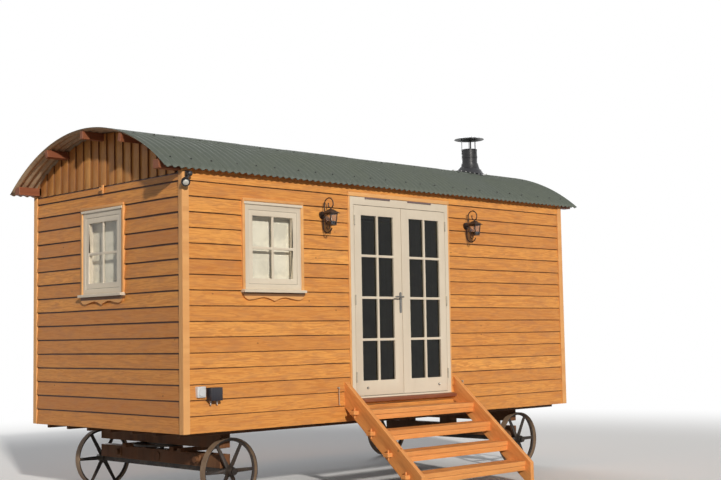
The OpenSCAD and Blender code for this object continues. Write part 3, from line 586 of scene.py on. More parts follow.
coatTable = {
    makeRoofPaint: {  # base, lighter patches, darker streaks, roughness
        "roofPaint": ((88, 95, 87), (96, 103, 93), (78, 85, 78), 0.7),
        "roofUnderside": ((172, 142, 110), (196, 170, 138), (96, 64, 42), 0.6),
        "flashing": ((38, 38, 42), (52, 52, 58), (24, 24, 28), 0.35),
    },
    makeIron: {  # base, worn patches, their share, metallic, roughness, rust
        "fluePaint": ((20, 20, 22), (40, 39, 44), 0.4, 0.0, 0.30, 0.05),
        "blackIron": ((44, 40, 38), (84, 74, 64), 0.6, 0.6, 0.5),
        "wheelIron": ((46, 42, 40), (86, 72, 60), 0.5, 0.3, 0.55),
        "wheelTread": ((142, 118, 96), (172, 146, 118), 0.7, 0.1, 0.6, 0.2),
        "leverSteel": ((120, 119, 116), (160, 158, 152), 0.3, 0.8, 0.35),
        "hingeSteel": ((176, 168, 152), (196, 186, 168), 0.4, 0.4, 0.45),
        "lanternBronze": ((58, 46, 40), (96, 78, 66), 0.5, 0.5, 0.42),
        "brightScrew": ((206, 206, 202), (230, 230, 226), 0.4, 0.7, 0.35),
        "screwSteel": ((64, 68, 66), (120, 122, 118), 0.5, 0.6, 0.45),
    },
    makeMoulded: {  # base, dust, roughness
        "candleLamp": ((232, 222, 200), (210, 196, 168), 0.4),
        "lensFrost": ((206, 204, 196), (180, 178, 168), 0.2),
        "lampBlack": ((38, 38, 42), (70, 68, 66), 0.35),
        "paleBox": ((214, 216, 218), (186, 178, 166), 0.45),
        "darkBox": ((36, 35, 43), (62, 60, 66), 0.35),
        "ventPlastic": ((126, 106, 108), (140, 124, 120), 0.5),
    },
    makeLining: {  # boards, joints, width, upright or lying
        "wallLining": ((224, 212, 188), (176, 158, 128), 0.1, True),
        "ceilingBoards": ((230, 220, 198), (184, 168, 140), 0.1, False),
        "floorBoards": ((184, 140, 96), (132, 92, 58), 0.14, False),
    },
    makeGlass: {  # tint, roughness, index of refraction
        "windowPane": ((0.98, 0.98, 0.96), 0.0, 1.3),
        # the door panes' dark tint is tinted glass and also painted shade, which darkens the hut's inside
        # seen through them
        "doorPane": ((0.20, 0.20, 0.15), 0.01, 1.3),
        "lampGlass": ((0.80, 0.79, 0.84), 0.02, 1.45),
    },
}
makeJoineryPaint()
makeBlindCloth()
for make, looks in coatTable.items():
    for name, look in looks.items():
        make(name, *look)
print("finishes made:", len(bpy.data.materials))


# Wall boards

boards = {
    "firstCover": 0.1568,  # visible height of the lowest board
    "cover": 0.1413,  # and of those above it
    "lap": 0.020,  # hidden below the next board
    "lowFront": 0.004,  # depth of a board's face behind the trims at its lower edge
    "highFront": 0.020,  # and under the next board
    "back": 0.027,
    "wave": (1.7, 0.0044),  # of the lower edge: turns in a metre, and how far it strays
    "cup": (0.9, 0.00132),  # and of the face
    "stretch": 0.34,  # distance between the points where a board may warp
    "edge": 0.0016,
    "paintedShadowDepths": {"long": (0.006, 0.011), "end": (0.012, 0.016)},  # a painted shadow line below each lap, and below the eave or the gable foot
    # how strong the painted shadow is on the long walls and on the ends
    "grime": {"long": 0.85, "end": 1.0},
    "tone": {"door": 0.55, "back": 0.55, "front": 0.40, "rear": 0.55},
    "toneSpread": 0.15,
    "top": 2.400,
    "gableFoot": 2.352,
    "trimSide": 0.073,
    "trimEnd": 0.064,
    "endGap": 0.001,  # between a board and the trim
}
windowField = {"half": 0.376, "low": 1.262, "high": 2.155}
windowX = 1.057  # middle of the windows in the long walls
doorField = (2.050, 3.573, 0.180, 2.313)  # left, right, low, high
wallFrames = {
    "door": Matrix.Identity(4),
    "back": Matrix.Translation((0, hutWidth, 0)) @ Matrix.Diagonal((1, -1, 1, 1)),
    "front": Matrix(((0, 1, 0, 0), (1, 0, 0, 0), (0, 0, 1, 0), (0, 0, 0, 1))),
    "rear": Matrix(((0, -1, 0, hutLength), (1, 0, 0, 0), (0, 0, 1, 0), (0, 0, 0, 1))),
}


def boardStretches(whole, holes):
    stretches = [whole]
    for left, right, low, high in holes:
        rest = []
        for a, b, c, d in stretches:
            if right <= a or left >= b or high <= c or low >= d:
                rest.append((a, b, c, d))
                continue
            rest += [(a, left, c, d), (right, b, c, d)]
            rest += [(max(a, left), min(b, right), c, low), (max(a, left), min(b, right), high, d)]
        stretches = [(a, b, c, d) for a, b, c, d in rest if b - a > 0.01 and d - c > 0.008]
    return stretches


def addBoard(target, part, course, tone, seed, wall):
    a, b, c, d = part
    low, high = course
    kind = "end" if wall in ("front", "rear") else "long"
    grime = boards["grime"][kind]
    top = d + boards["lap"] if abs(d - high) < 1e-6 else d
    bm = newTimber()
    addBlock(bm, (a, 0, c), (b, boards["back"], top))
    # painted shadow: the board darkens in a band just below the edge that shades it, which is the next
    # board's lap, the eave or the gable foot
    shelter = min(high, boards["gableFoot"] - 0.004 if kind == "end" else boards["top"])
    lineLow, lineEnd = (shelter - depth for depth in boards["paintedShadowDepths"][kind])
    for z in (lineEnd, lineLow, high):
        if c < z < top:
            cutAt(bm, (0, 0, z), (0, 0, 1))
    steps = max(1, round((b - a) / boards["stretch"]))
    for i in range(1, steps):
        cutAt(bm, (a + (b - a) * i / steps, 0, 0), (1, 0, 0))
    slope = (boards["highFront"] - boards["lowFront"]) / boards["cover"]
    paintedShadowLayer = bm.verts.layers.float["grime"]
    for v in bm.verts:
        wave = noise.noise(Vector((v.co.x * boards["wave"][0], seed, 0))) * boards["wave"][1]
        cup = noise.noise(Vector((v.co.x * boards["cup"][0], seed, 7))) * boards["cup"][1]
        if v.co.y < 0.01:
            v.co.y = boards["lowFront"] + slope * (v.co.z - low) + cup
        v[paintedShadowLayer] = grime if v.co.z > lineLow - 1e-4 else 0.0
        if abs(v.co.z - low) < 1e-6 and c <= low + 1e-6:
            v.co.z += wave
    stampGrain(bm, bm.faces, (1, 0, 0), tone, seed)
    roundEdges(bm, boards["edge"], 2, 50, 0.004, (1, 0, 0))
    # painted shade on each board's underside
    markUnder(bm, (0, 0, -1), grime)
    joinInto(target, bm, wallFrames[wall])


def boardWall(name, wall, width, trim, holes, top):
    target = newTimber()
    rng = random.Random(len(name) * 7 + 3)
    start = trim + boards["endGap"]
    low, high = 0.0, boards["firstCover"]
    while low < top - 0.02:
        parts = boardStretches((start, width - start, low, min(high, top)), holes)
        notched = any(part[:2] == hole[:2] for part in parts for hole in holes)
        tone, seed = rng.gauss(boards["tone"][wall], boards["toneSpread"]), rng.uniform(0, 50)
        for part in parts:
            if not notched:  # a window or door cuts the course into separate boards
                tone, seed = rng.gauss(boards["tone"][wall], boards["toneSpread"]), rng.uniform(0, 50)
            addBoard(target, part, (low, high), min(1.0, max(0.0, tone)), seed, wall)
        low, high = high, high + boards["cover"]
    finishPiece(name, target, ["wallBoards"])


def holeAt(centre):
    f = windowField
    return (centre - f["half"], centre + f["half"], f["low"], f["high"])


def makeWallBoards():
    for name, wall, doors in (("boards_door_side", "door", [doorField]), ("boards_back", "back", [])):
        boardWall(name, wall, hutLength, boards["trimSide"], [holeAt(windowX)] + doors, boards["top"])
    for name, wall in (("boards_front_end", "front"), ("boards_rear_end", "rear")):
        boardWall(name, wall, hutWidth, boards["trimEnd"], [holeAt(hutWidth / 2)], boards["gableFoot"])


# the last entry sets how dark the painted shade on each board's thick edge is
gableBoards = {"cover": 0.142, "lap": 0.016, "thickEdge": -0.002, "thinEdge": 0.018, "back": 0.027,
               "side": 0.030, "foot": 2.346, "radius": 2.156, "trimTop": 2.368, "paintedShade": 0.75}


def makeGableBoards(name, wall):
    target = newTimber()
    rng = random.Random(len(name))
    g = gableBoards
    count = math.ceil((hutWidth - 0.05) / g["cover"])
    slope = (g["thinEdge"] - g["thickEdge"]) / (g["cover"] + g["lap"])
    for i in range(count):
        start = hutWidth / 2 - count * g["cover"] / 2 + i * g["cover"]
        a, b = max(start, g["side"]), min(start + g["cover"] + g["lap"], hutWidth - g["side"])
        byTrim = a < boards["trimEnd"] or b > hutWidth - boards["trimEnd"]
        bm = newTimber()
        addBlock(bm, (a, 0, g["trimTop"] if byTrim else g["foot"]), (b, g["back"], 3.0))
        for v in bm.verts:
            if v.co.y < 0.01:
                v.co.y = g["thickEdge"] + slope * (v.co.x - start)
            if v.co.z > 2.9:
                v.co.z = archZ + math.sqrt(g["radius"] ** 2 - (v.co.x - hutWidth / 2) ** 2)
        stampGrain(bm, bm.faces, (0, 0, 1), rng.uniform(0.1, 0.95), rng.uniform(0, 40))
        roundEdges(bm, 0.0015, 2, 50, 0.004)
        # painted shade on each board's thick edge and on its foot
        markUnder(bm, (-1, 0, 0), g["paintedShade"])
        markUnder(bm, (0, 0, -1), 1.0)
        joinInto(target, bm, wallFrames[wall])
    finishPiece(name, target, ["gableBoards"])


makeWallBoards()
makeGableBoards("gable_boards_front", "front")
makeGableBoards("gable_boards_rear", "rear")
print("boards laid")


# Timber, joinery and iron that keep the shapes of the frame

sillShade = {"depth": 0.030, "fade": 0.008, "amount": 0.85}  # a painted shadow of the sill over the apron's top, together with the dirt that gathers where rain doesn't reach
sashEdge = {"half": 0.2965, "low": 1.3535, "high": 2.0465}
darkBoxPlace = {"left": 0.245, "low": 0.286}
rimSkin = 0.012  # depth of the rim's worn face
lanternX = (1.693, 3.857)
lanternCase = {"y": -0.125, "z": 1.936, "lowWidth": 0.078, "highWidth": 0.096, "bar": 0.009,
               "candleRadius": 0.009, "candleLow": 0.041, "candleHigh": 0.1}


def makeAprons():
    bm = nodeCopy("window_aprons")
    lineLow = hutBox("window_sills")[0].z - sillShade["depth"]
    for z in (lineLow - sillShade["fade"], lineLow):
        cutAt(bm, (0, 0, z), (0, 0, 1))
    # painted shadow of the sill, with some dirt, across the apron's top
    paintedShadowLayer = bm.verts.layers.float["grime"]
    for v in bm.verts:
        v[paintedShadowLayer] = sillShade["amount"] if v.co.z > lineLow - 1e-4 else 0.0
    stampGrain(bm, bm.faces, (1, 0, 0), 0.5, 0)
    finishPiece("window_aprons_dressed", bm, ["trims"], replaces=["window_aprons"])


def sashGapShade(centre):  # the outer edge of a sash, seen from inside its frame, gets painted shade
    atEnd = centre.x < 0.1 or centre.x > hutLength - 0.1
    across = abs(centre.y - hutWidth / 2) if atEnd else abs(centre.x - windowX)
    return across > sashEdge["half"] or not sashEdge["low"] < centre.z < sashEdge["high"]


def pegOrLining(centre):
    return 1 if centre.x < boards["back"] else 0


def candleOrCase(centre):
    c = lanternCase
    reach = min(math.hypot(centre.x - x, centre.y - c["y"]) for x in lanternX)
    return 1 if reach < c["candleRadius"] and c["candleLow"] < centre.z - c["z"] < c["candleHigh"] else 0


def darkOrPaleBox(centre):
    return 0 if centre.x < darkBoxPlace["left"] or centre.z < darkBoxPlace["low"] else 1


def treadOrWeb(node):  # the rim's outer face is worn bright
    low, high = hutBox(node)
    middle, radius = (low + high) / 2, (high - low).z / 2

    def pick(centre):
        return 1 if math.hypot(centre.x - middle.x, centre.z - middle.z) > radius - rimSkin else 0
    return pick


def paintNodes(coat, *names):
    for name in names:
        mesh = nodes[name].data
        mesh.materials.clear()
        mesh.materials.append(finishes[coat])


dressNode("corner_trims", ["trims"], 0.003, (0.3, 0.8))
dressNode("roof_purlins", ["redTimber"], 0.003)
dressNode("door_sill", ["redTimber"], 0.003, (0.2, 0.3))
dressNode("stair_stringers", ["stepTimber"], 0.004, (0.4, 0.8))
dressNode("stair_treads", ["stepTimber"], 0.003, (0.1, 0.9), (1, 0, 0))
dressNode("stair_pegs", ["stepTimber"], 0.001, (0.2, 0.4), (1, 0, 0))
for node in ("floor_joists", "front_bolster", "front_axle_bed", "rear_axle_bed"):
    dressNode(node, ["darkTimber"], 0.004, (0.1, 0.8))
makeAprons()
# painted shade on the sashes' outer edges, in the gap to their frames
dressNode("window_sashes", ["joineryPaint"], 0.003, (0.4, 0.6), paintedShade=sashGapShade)
for node in ("window_frames", "window_sills", "door_frame", "left_leaf", "right_leaf"):
    dressNode(node, ["joineryPaint"], 0.002, (0.4, 0.6))
dressNode("front_gable", ["wallLining", "trims"], 0.001, pick=pegOrLining)
for node in ("turntable_plate", "front_axle_iron", "rear_axle_iron"):
    dressNode(node, ["blackIron"], 0.0012)
for node in ("frame_hinges", "left_hinges", "right_hinges", "cabin_hooks"):
    dressNode(node, ["hingeSteel"], 0.0008)
for node in ("wheel_front_near", "wheel_front_far", "wheel_rear_near", "wheel_rear_far"):
    dressNode(node, ["wheelIron", "wheelTread"], 0.002, pick=treadOrWeb(node))
for node in ("handle_plates", "door_lever"):
    dressNode(node, ["leverSteel"], 0.0008)
dressNode("lanterns", ["lanternBronze", "candleLamp"], 0.0006, pick=candleOrCase,
          segments=1)
dressNode("security_light", ["lampBlack"], 0.0012)
dressNode("inlet_boxes", ["paleBox", "darkBox"], 0.004, pick=darkOrPaleBox, segments=3)
paintNodes("wallLining", "door_wall_left", "door_wall_right", "door_wall_infill", "back_wall",
           "front_end_wall", "rear_end_wall", "rear_gable")
paintNodes("ceilingBoards", "ceiling_lining")
paintNodes("floorBoards", "floor_deck")
paintNodes("windowPane", "window_glass")
paintNodes("doorPane", "left_glass", "right_glass")
nodes["window_glass"].visible_shadow = False  # the sun reaches the blinds, and only once
nodes["window_glass"].visible_diffuse = False
print("frame pieces dressed")


# Strips of timber round the windows, beside the doors and under the treads

strips = {"width": 0.028, "windowHalf": 0.350, "proud": 0.010, "headLow": 2.130, "headHigh": 2.156,
          "doorLow": 0.180, "doorTop": 2.266, "doorHead": 2.311, "doorSide": 0.023, "gap": 0.001}
treadStrips = {"count": 4, "firstFront": -0.264, "firstUnder": 0.067, "going": 0.228, "rise": 0.193,
               "height": 0.048, "depth": 0.040, "reach": (0.0545, 0.0495)}  # past the door frame
turnButton = {"middle": 1.310, "half": 0.018, "low": 2.272, "top": 2.356, "out": 0.012, "taper": 0.55}
doorLow, doorHigh = hutBox("door_frame")
doorX, doorHalf = (doorLow.x + doorHigh.x) / 2, (doorHigh.x - doorLow.x) / 2
windowPlaces = {"door_side": ("door", windowX), "back": ("back", windowX),
                "front_end": ("front", hutWidth / 2), "rear_end": ("rear", hutWidth / 2)}


def addStrip(target, low, high, tone, matrix, along=(1, 0, 0)):
    bm = newTimber()
    addBlock(bm, low, high)
    stampGrain(bm, bm.faces, along, tone, low[0] * 7 + high[2] * 3)
    roundEdges(bm, 0.002)
    joinInto(target, bm, matrix)


def makeTreadStrips():
    t = treadStrips
    target = newTimber()
    rng = random.Random(5)
    for i in range(t["count"]):
        front, top = t["firstFront"] - i * t["going"], t["firstUnder"] - i * t["rise"]
        low = (doorX - doorHalf - t["reach"][0], front, top - t["height"])
        high = (doorX + doorHalf + t["reach"][1], front + t["depth"], top)
        addStrip(target, low, high, rng.uniform(0.2, 0.8), Matrix())
    finishPiece("tread_strips", target, ["stepTimber"])


def makeTurnButton():
    t = turnButton
    target = newTimber()
    bm = newTimber()
    addBlock(bm, (t["middle"] - t["half"], -t["out"], t["low"]), (t["middle"] + t["half"], 0.003, t["top"]))
    for v in bm.verts:
        if v.co.z < t["low"] + 0.01:
            v.co.x = t["middle"] + (v.co.x - t["middle"]) * t["taper"]
    stampGrain(bm, bm.faces, (0, 0, 1), 0.8, 3.0)
    roundEdges(bm, 0.003)
    joinInto(target, bm, wallFrames["front"])
    finishPiece("gable_turn_button", target, ["trims"])


def makeStrips():
    s = strips
    back, upright, target = boards["back"], (0, 0, 1), newTimber()
    low = hutBox("window_sills")[1].z - 0.03
    for wall, middle in windowPlaces.values():
        matrix = wallFrames[wall]
        a, b = middle - s["windowHalf"] - s["width"], middle + s["windowHalf"] + s["width"]
        for x, tone in ((a, 0.45), (b - s["width"], 0.9)):
            addStrip(target, (x, -s["proud"], low), (x + s["width"], back, s["headLow"]), tone, matrix,
                     upright)
        # the head strip's low tone is painted shade from the board above it
        addStrip(target, (a, -s["proud"] - 0.002, s["headLow"]), (b, back, s["headHigh"]), 0.35, matrix)
    matrix = wallFrames["door"]
    a, b = doorX - doorHalf - s["doorSide"], doorX + doorHalf + s["doorSide"]
    for x in (a, b - s["doorSide"] + s["gap"]):
        addStrip(target, (x, 0.002, s["doorLow"]), (x + s["doorSide"] - s["gap"], back, s["doorTop"]), 0.7,
                 matrix, upright)
    addStrip(target, (a, -0.004, s["doorTop"] + 0.004), (b, back, s["doorHead"]), 0.8, matrix)
    finishPiece("opening_strips", target, ["trims"])


# Vents over the doors and the eyes for their hooks

vents = {"offsets": (-0.349, 0.283), "half": 0.178, "depth": 0.012, "low": 2.252, "high": 2.266,
         "cap": 0.008, "capIn": 0.006, "capProud": 0.002}
hookEyes = {"offset": 0.536, "z": 0.320, "out": 0.013, "ring": 0.010, "wire": 0.003,
            "plate": [(0.0, 0.0), (0.008, 0.0), (0.007, 0.003), (0.0, 0.004)]}


def makeVents():
    v = vents
    half, low, high, cap, proud = v["half"], v["low"], v["high"], v["cap"], v["capProud"]
    bm = bmesh.new()
    for middle in (doorX + offset for offset in v["offsets"]):
        addBlock(bm, (middle - half, -v["depth"], low), (middle + half, 0.001, high))
        for end in (middle - half + v["capIn"], middle + half - v["capIn"]):
            addBlock(bm, (end - cap, -v["depth"] - proud, low - proud), (end + cap, 0.0, high + proud))
        addBlock(bm, (middle - half + 0.02, -v["depth"] - 0.003, low + 0.004),
                 (middle + half - 0.02, -0.001, high - 0.003))
    roundEdges(bm, 0.0018, 2, 50, 0.001)
    finishPiece("trickle_vents", bm, ["ventPlastic"])


def makeHookEyes():
    e = hookEyes
    for side, body in ((-1, "left_door"), (1, "right_door")):
        bm = bmesh.new()
        x = doorX + side * e["offset"]
        addTurned(bm, e["plate"], placed((x, 0, e["z"]), math.pi / 2, "X"), 24)
        ring = bmesh.new()
        bmesh.ops.create_circle(ring, cap_ends=False, segments=10, radius=e["wire"],
                                matrix=placed((e["ring"], 0, 0), math.pi / 2, "X"))
        spinInto(bm, ring, placed((x, -e["out"], e["z"]), math.pi / 2, "Y"), 24)
        finishPiece("hook_eye_" + body, bm, ["leverSteel"], body)


makeTreadStrips()
makeTurnButton()
makeStrips()
makeVents()
makeHookEyes()
print("strips, vents and eyes made")


# Roman blinds behind the windows

blinds = {"width": 0.664, "low": 1.350, "high": 2.075, "depth": 0.100, "seams": 4, "slack": 0.006,
          "battenLow": 2.075, "battenHigh": 2.100, "battenDepth": (0.092, 0.112), "cloth": 0.0012}


def makeBlinds():
    b = blinds
    rails = newTimber()
    half = b["width"] / 2
    for wall, middle in windowPlaces.values():
        addStrip(rails, (middle - half, b["battenDepth"][0], b["battenLow"]),
                 (middle + half, b["battenDepth"][1], b["battenHigh"]), 0.5, wallFrames[wall])
    railPiece = finishPiece("blind_battens", rails, ["joineryPaint"],
                            replaces=["window_blinds"])
    drop = b["high"] - b["low"]
    for place, (wall, middle) in windowPlaces.items():
        bm = newTimber()
        bmesh.ops.create_grid(bm, x_segments=20, y_segments=60, size=0.5)
        for v in bm.verts:
            fall = 0.5 - v.co.y
            panel = (fall * (b["seams"] + 0.5)) % 1.0
            belly = math.sin(math.pi * min(1.0, panel * 1.02)) ** 0.7 * b["slack"] * (0.4 + 0.6 * fall)
            ripple = noise.noise(Vector((v.co.x * 5, fall * 9, middle))) * 0.0015 * fall
            across = middle + v.co.x * b["width"]
            v.co = Vector((across, b["depth"] - belly + ripple, b["high"] - fall * drop))
        stampGrain(bm, bm.faces, (1, 0, 0), 0.5, 0.0)
        bmesh.ops.solidify(bm, geom=bm.faces[:], thickness=b["cloth"])
        bmesh.ops.transform(bm, matrix=wallFrames[wall], verts=bm.verts)
        bmesh.ops.recalc_face_normals(bm, faces=bm.faces)
        sheet = finishPiece("blind_" + place, bm, ["blindCloth"], replaces=["window_blinds"])


makeBlinds()


# Lantern panes and the lamp's lens

paneShape = {"side": 0.003, "half": 0.001, "low": 0.012, "high": 0.112}
lampLens = {"place": (-0.003, -0.054, 2.250), "turn": -28, "tilt": 115,  # degrees
            "dome": [(0.0, 0.018), (0.027, 0.018), (0.027, 0.030), (0.022, 0.034), (0.012, 0.037),
                     (0.0, 0.038)]}


def makeLanternGlass():
    c, p = lanternCase, paneShape
    bm = bmesh.new()
    low, high = c["lowWidth"] / 2 - c["bar"] / 2, c["highWidth"] / 2 - c["bar"] / 2
    for x in lanternX:
        for turn in range(4):
            pane = addBlock(bm, (-low + p["side"], -low - p["half"], p["low"]),
                            (low - p["side"], -low + p["half"], p["high"]))
            for v in pane:
                if v.co.z > 0.1:
                    v.co.y -= high - low
                    v.co.x *= high / low
            bmesh.ops.transform(bm, matrix=placed((x, c["y"], c["z"]), turn * math.pi / 2), verts=pane)
    finishPiece("lantern_panes", bm, ["lampGlass"])


def makeLampLens():
    bm = bmesh.new()
    tilt = Matrix.Rotation(math.radians(lampLens["tilt"]), 4, "X")
    addTurned(bm, lampLens["dome"], placed(lampLens["place"], math.radians(lampLens["turn"])) @ tilt, 32)
    finishPiece("lamp_lens", bm, ["lensFrost"])


makeLanternGlass()
makeLampLens()
print("blinds and lamps made")


# Roof sheets and their screws

def makeRoofSheets(name, first, lift, overlap, node):
    r = roofShape
    eaveAngle = math.asin(r["halfWidth"] / r["radius"])
    sheetLength = r["waves"] * r["pitch"]
    bm = bmesh.new()
    for i in range(first, r["sheets"], 2):
        start = max(roofLow.x + i * sheetLength - overlap, roofLow.x)
        end = min(roofLow.x + (i + 1) * sheetLength + overlap, roofLow.x + r["sheets"] * sheetLength)
        count = round((end - start) / r["pitch"] * r["stepsPerWave"])
        row = []
        for k in range(count + 1):
            x = start + (end - start) * k / count
            rise = r["waveHeight"] / 2 * (math.cos(math.tau * (x - roofLow.x) / r["pitch"]) - 1)
            row.append(bm.verts.new(roofPoint(x, eaveAngle, r["radius"] + rise + lift)))
        line = [bm.edges.new(pair) for pair in zip(row, row[1:])]
        bmesh.ops.spin(bm, geom=row + line, cent=(0, hutWidth / 2, archZ), axis=(1, 0, 0),
                       angle=-2 * eaveAngle, steps=r["stepsOverArch"])
    middle = Vector((0, hutWidth / 2, archZ))
    for face in bm.faces:
        outward = face.calc_center_median() - middle
        outward.x = 0
        if face.normal.dot(outward) < 0:
            face.normal_flip()
    piece = finishPiece(name, bm, ["roofPaint", "roofUnderside"], replaces=[node],
                        smoothAngle=80)
    solid = piece.modifiers.new("thickness", "SOLIDIFY")
    solid.thickness = r["thickness"]
    solid.offset = -1
    solid.material_offset = 1


def makeRoofScrews():
    r = roofShape
    head, washer = r["screwHead"], r["screwWasher"]
    bm = bmesh.new()
    purlinAngle = math.asin(r["purlinOut"] / (r["radius"] - r["waveHeight"]))
    wallAngle = math.asin((hutWidth / 2 - r["wallIn"]) / r["radius"])
    for angle in (-wallAngle, -purlinAngle, 0, purlinAngle, wallAngle):
        for sheet in range(r["sheets"]):
            for wave in r["screwWaves"]:
                x = roofLow.x + (sheet * r["waves"] + wave) * r["pitch"]
                foot = roofPoint(x, angle, r["radius"] - 0.001)
                away = (roofPoint(x, angle, 3) - foot).normalized()
                addRod(bm, foot, foot + away * washer[1], washer[0], 10)
                addRod(bm, foot + away * 0.003, foot + away * head[1], head[0], 6)
    finishPiece("roof_screws", bm, ["screwSteel"], smoothAngle=20)


makeRoofSheets("roof_sheets_lower", 0, 0.0, 0.0, "roof_sheets_a")
makeRoofSheets("roof_sheets_upper", 1, roofShape["lapLift"], roofShape["pitch"] / 2, "roof_sheets_b")
makeRoofScrews()
print("roof laid")


# Flue

flue = {"x": 4.990, "y": 0.900, "radius": 0.095, "wall": 0.005, "top": 3.130, "band": 3.035, "bead": 0.003,
        "below": 0.13,  # the roof
        "cowlLow": 3.252, "cowlTop": 3.294, "cowlRadius": 0.1835, "stays": (30, 150, 270), "rod": 0.005,
        "skirtRadius": 0.142, "skirtHigh": 0.110, "segments": 64}
flashing = {"half": 0.200, "turn": 55.5, "bootRadius": 0.175, "thickness": 0.0025, "cells": 48,
            "screws": 28, "screwIn": 0.012, "screwRadius": 0.0075, "screwHigh": 0.010}
flueReach = hutWidth / 2 - flue["y"]
flueAngle = math.asin(flueReach / roofShape["radius"])


def makeFluePipe():
    f = flue
    x, y, r, top, band = f["x"], f["y"], f["radius"], f["top"], f["band"]
    inner, bead = r - f["wall"], r + f["bead"]
    roofTop = archZ + math.sqrt(roofShape["radius"] ** 2 - flueReach ** 2)
    low, foot = roofTop - f["below"], roofTop - 0.02
    skirt, skirtTop = f["skirtRadius"], roofTop + f["skirtHigh"]
    cowl, cowlLow, cowlTop = f["cowlRadius"], f["cowlLow"], f["cowlTop"]
    profiles = {
        "pipe": [(inner, low), (r, low), (r, band - 0.016), (bead, band - 0.013), (bead, band + 0.013),
                 (r, band + 0.016), (r, top - 0.012), (bead, top - 0.009), (bead, top - 0.002), (r, top),
                 (inner, top), (inner, low)],
        "skirt": [(r, foot), (skirt, foot), (skirt - 0.004, roofTop + 0.004), (r + 0.026, roofTop + 0.05),
                  (r + 0.012, skirtTop - 0.016), (r + 0.009, skirtTop), (r, skirtTop + 0.002), (r, foot)],
        "cowl": [(0.0, cowlTop), (0.055, cowlTop - 0.003), (0.12, cowlTop - 0.018),
                 (cowl - 0.008, cowlLow + 0.004), (cowl, cowlLow + 0.003), (cowl, cowlLow),
                 (cowl - 0.012, cowlLow - 0.001), (0.11, cowlTop - 0.024), (0.05, cowlTop - 0.011),
                 (0.0, cowlTop - 0.009)],
    }
    bm = bmesh.new()
    for profile in profiles.values():
        addTurned(bm, profile, placed((x, y, 0)), f["segments"])
    for turn in f["stays"]:
        stay = bmesh.new()
        addBlock(stay, (r - 0.001, -0.008, top - 0.062), (bead, 0.008, cowlLow + 0.018))
        for z in (top - 0.05, top - 0.02):
            addRod(stay, (r + 0.002, 0, z), (r + 0.007, 0, z), f["rod"], 10)
        roundEdges(stay, 0.0008, 1, 40, 0.002)
        joinInto(bm, stay, placed((x, y, 0), math.radians(turn)))
    cross = top - 0.03
    addRod(bm, (x, y, cross), (x, y, cowlTop - 0.008), f["rod"], 16)
    addRod(bm, (x - inner - 0.002, y, cross), (x + inner + 0.002, y, cross), f["rod"], 12)
    finishPiece("flue_pipe", bm, ["fluePaint"], replaces=["flue_stack"], smoothAngle=40)


def platePoint(across, down, lift):  # from the pipe, in metres on the roof
    turned, radius = math.radians(flashing["turn"]), roofShape["radius"]
    sideways = across * math.cos(turned) - down * math.sin(turned)
    forwards = across * math.sin(turned) + down * math.cos(turned)
    angle = flueAngle + forwards / (radius * math.cos(flueAngle))
    return roofPoint(flue["x"] + sideways, angle, radius + lift)


def makeFlashing():
    half, r, b = flashing["half"], flue["radius"], flashing["bootRadius"]
    sheet = bmesh.new()
    bmesh.ops.create_grid(sheet, x_segments=flashing["cells"], y_segments=flashing["cells"], size=half)
    for v in sheet.verts:
        across, down = v.co.x, v.co.y
        rim = (max(abs(across), abs(down)) / half) ** 6
        v.co = platePoint(across, down, 0.0035 + 0.0015 * rim * math.sin((across - down) * 90))
    pipe = Vector((flue["x"], flue["y"]))
    hole = [face for face in sheet.faces if (face.calc_center_median().xy - pipe).length < r + 0.004]
    bmesh.ops.delete(sheet, geom=hole, context="FACES")
    bmesh.ops.recalc_face_normals(sheet, faces=sheet.faces)
    if sum(face.normal.z for face in sheet.faces) < 0:
        bmesh.ops.reverse_faces(sheet, faces=sheet.faces)
    bmesh.ops.solidify(sheet, geom=sheet.faces[:], thickness=flashing["thickness"])
    boot = [(r + 0.002, 0.004), (b, 0.004), (b - 0.004, 0.012), (b - 0.018, 0.018), (b - 0.022, 0.032),
            (b - 0.034, 0.038), (b - 0.038, 0.052), (r + 0.012, 0.062), (r + 0.002, 0.066),
            (r + 0.002, 0.004)]
    addTurned(sheet, boot, placed(platePoint(0, 0, 0), flueAngle, "X"), flue["segments"])
    finishPiece("flue_flashing", sheet, ["flashing"], replaces=["flue_stack"], smoothAngle=60)


def makeFlashingScrews():
    s = flashing
    bm = bmesh.new()
    perSide, reach = s["screws"] // 4, s["half"] - s["screwIn"]
    for k in range(perSide):
        t = reach * (2 * k / perSide - 1)
        for across, down in ((t, -reach), (reach, t), (-t, reach), (-reach, -t)):
            foot = platePoint(across, down, 0.002)
            away = (platePoint(across, down, 1) - foot).normalized()
            addRod(bm, foot, foot + away * s["screwHigh"], s["screwRadius"], 6)
    finishPiece("flashing_screws", bm, ["brightScrew"], smoothAngle=20)


makeFluePipe()
makeFlashing()
makeFlashingScrews()
print("flue made")


# Floor, light and camera

studio = {
    "paperRadius": 60.0,
    "clearFrom": 6.0,  # the floor melts into the background between these distances
    "clearTo": 13.0,
    "paper": 0.86,
    "paperForBounce": 0.20,  # how pale the floor is for the light that it throws back
    "worldStrength": 0.12,
    "worldColour": (0.93, 0.96, 1.0, 1),
    "sunStrength": 2.95,
    "sunAngle": 2.5,  # degrees
    "sunColour": (1.0, 0.955, 0.89),
    "toSun": (-0.389, -0.848, 0.36),
    "fillStrength": 1.5,
    "fillAngle": 40.0,
    "fillColour": (0.96, 0.98, 1.0),
    "toFill": (0.52, 0.82, 0.30),  # lights the sides that the sun leaves in shade
    "cameraPlace": (-9.1925, -9.7277, 1.5364),
    "cameraForward": (0.69344, 0.7161, 0.07962),
    "cameraDown": (0.04301, 0.06917, -0.99668),
    "lens": 60.63,
}


def seenDirectly(tree):  # by the camera, in a reflection or through glass
    rays = addNode(tree, "ShaderNodeLightPath").outputs
    behindGlass = maths("MAXIMUM", rays["Is Glossy Ray"], rays["Is Transmission Ray"])
    return maths("MAXIMUM", rays["Is Camera Ray"], behindGlass)


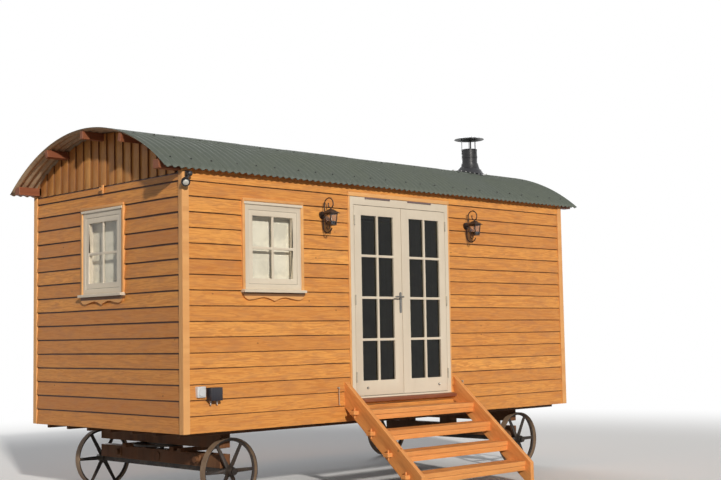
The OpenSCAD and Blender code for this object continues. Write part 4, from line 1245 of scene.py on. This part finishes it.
def makeFloor():
    bm = bmesh.new()
    bmesh.ops.create_circle(bm, cap_ends=True, segments=96, radius=studio["paperRadius"])
    mesh = bpy.data.meshes.new("studio_floor")
    bm.to_mesh(mesh)
    bm.free()
    pale, dull = ((studio[key],) * 3 + (1,) for key in ("paper", "paperForBounce"))
    tree, shader = newFinish("studioPaper", Base_Color=pale, Roughness=0.9)
    parts = partsOf(objectSpot(tree))
    square = maths("ADD", *(times(part, part) for part in parts[:2]))
    outer = spread(maths("SQRT", square), studio["clearFrom"], studio["clearTo"])
    white = addNode(tree, "ShaderNodeEmission", {"Color": (1, 1, 1, 1), "Strength": 1.0})
    seen = seenDirectly(tree)
    tree.links.new(mixColour(seen, dull, pale), shader.inputs["Base Color"])
    share = times(outer, seen)
    blend = addNode(tree, "ShaderNodeMixShader", {0: share, 1: shader.outputs[0], 2: white.outputs[0]})
    output = next(node for node in tree.nodes if node.bl_idname == "ShaderNodeOutputMaterial")
    tree.links.new(blend.outputs[0], output.inputs["Surface"])
    mesh.materials.append(finishes["studioPaper"])
    return addObject("studio_floor", mesh)


def makeWorld():
    world = bpy.data.worlds.new("studioLight")
    world.use_nodes = True
    tree = world.node_tree
    tree.nodes.clear()
    soft = addNode(tree, "ShaderNodeBackground",
                   {"Color": studio["worldColour"], "Strength": studio["worldStrength"]})
    pale = addNode(tree, "ShaderNodeBackground", {"Color": (1, 1, 1, 1), "Strength": 1.0})
    both = addNode(tree, "ShaderNodeMixShader",
                   {0: seenDirectly(tree), 1: soft.outputs[0], 2: pale.outputs[0]})
    addNode(tree, "ShaderNodeOutputWorld", {"Surface": both.outputs[0]})
    bpy.context.scene.world = world


def makeLamps():
    for name in ("sun", "fill"):
        lamp = bpy.data.lights.new(name, "SUN")
        lamp.energy = studio[name + "Strength"]
        lamp.angle = math.radians(studio[name + "Angle"])
        lamp.color = studio[name + "Colour"]
        toLamp = Vector(studio["to" + name.capitalize()])
        addObject(name, lamp).rotation_euler = toLamp.to_track_quat("Z", "Y").to_euler()


def makeCamera():
    data = bpy.data.cameras.new("camera")
    data.lens = studio["lens"]
    data.sensor_width = 36
    camera = addObject("camera", data)
    back, up = -Vector(studio["cameraForward"]), -Vector(studio["cameraDown"])
    right = up.cross(back).normalized()
    up = back.cross(right).normalized()
    turn = Matrix((right, up, back.normalized())).transposed()
    camera.matrix_world = Matrix.Translation(studio["cameraPlace"]) @ turn.to_4x4()
    bpy.context.scene.camera = camera


floor = makeFloor()
makeWorld()
makeLamps()
makeCamera()
bpy.context.scene.view_settings.view_transform = "Standard"
bpy.context.view_layer.update()
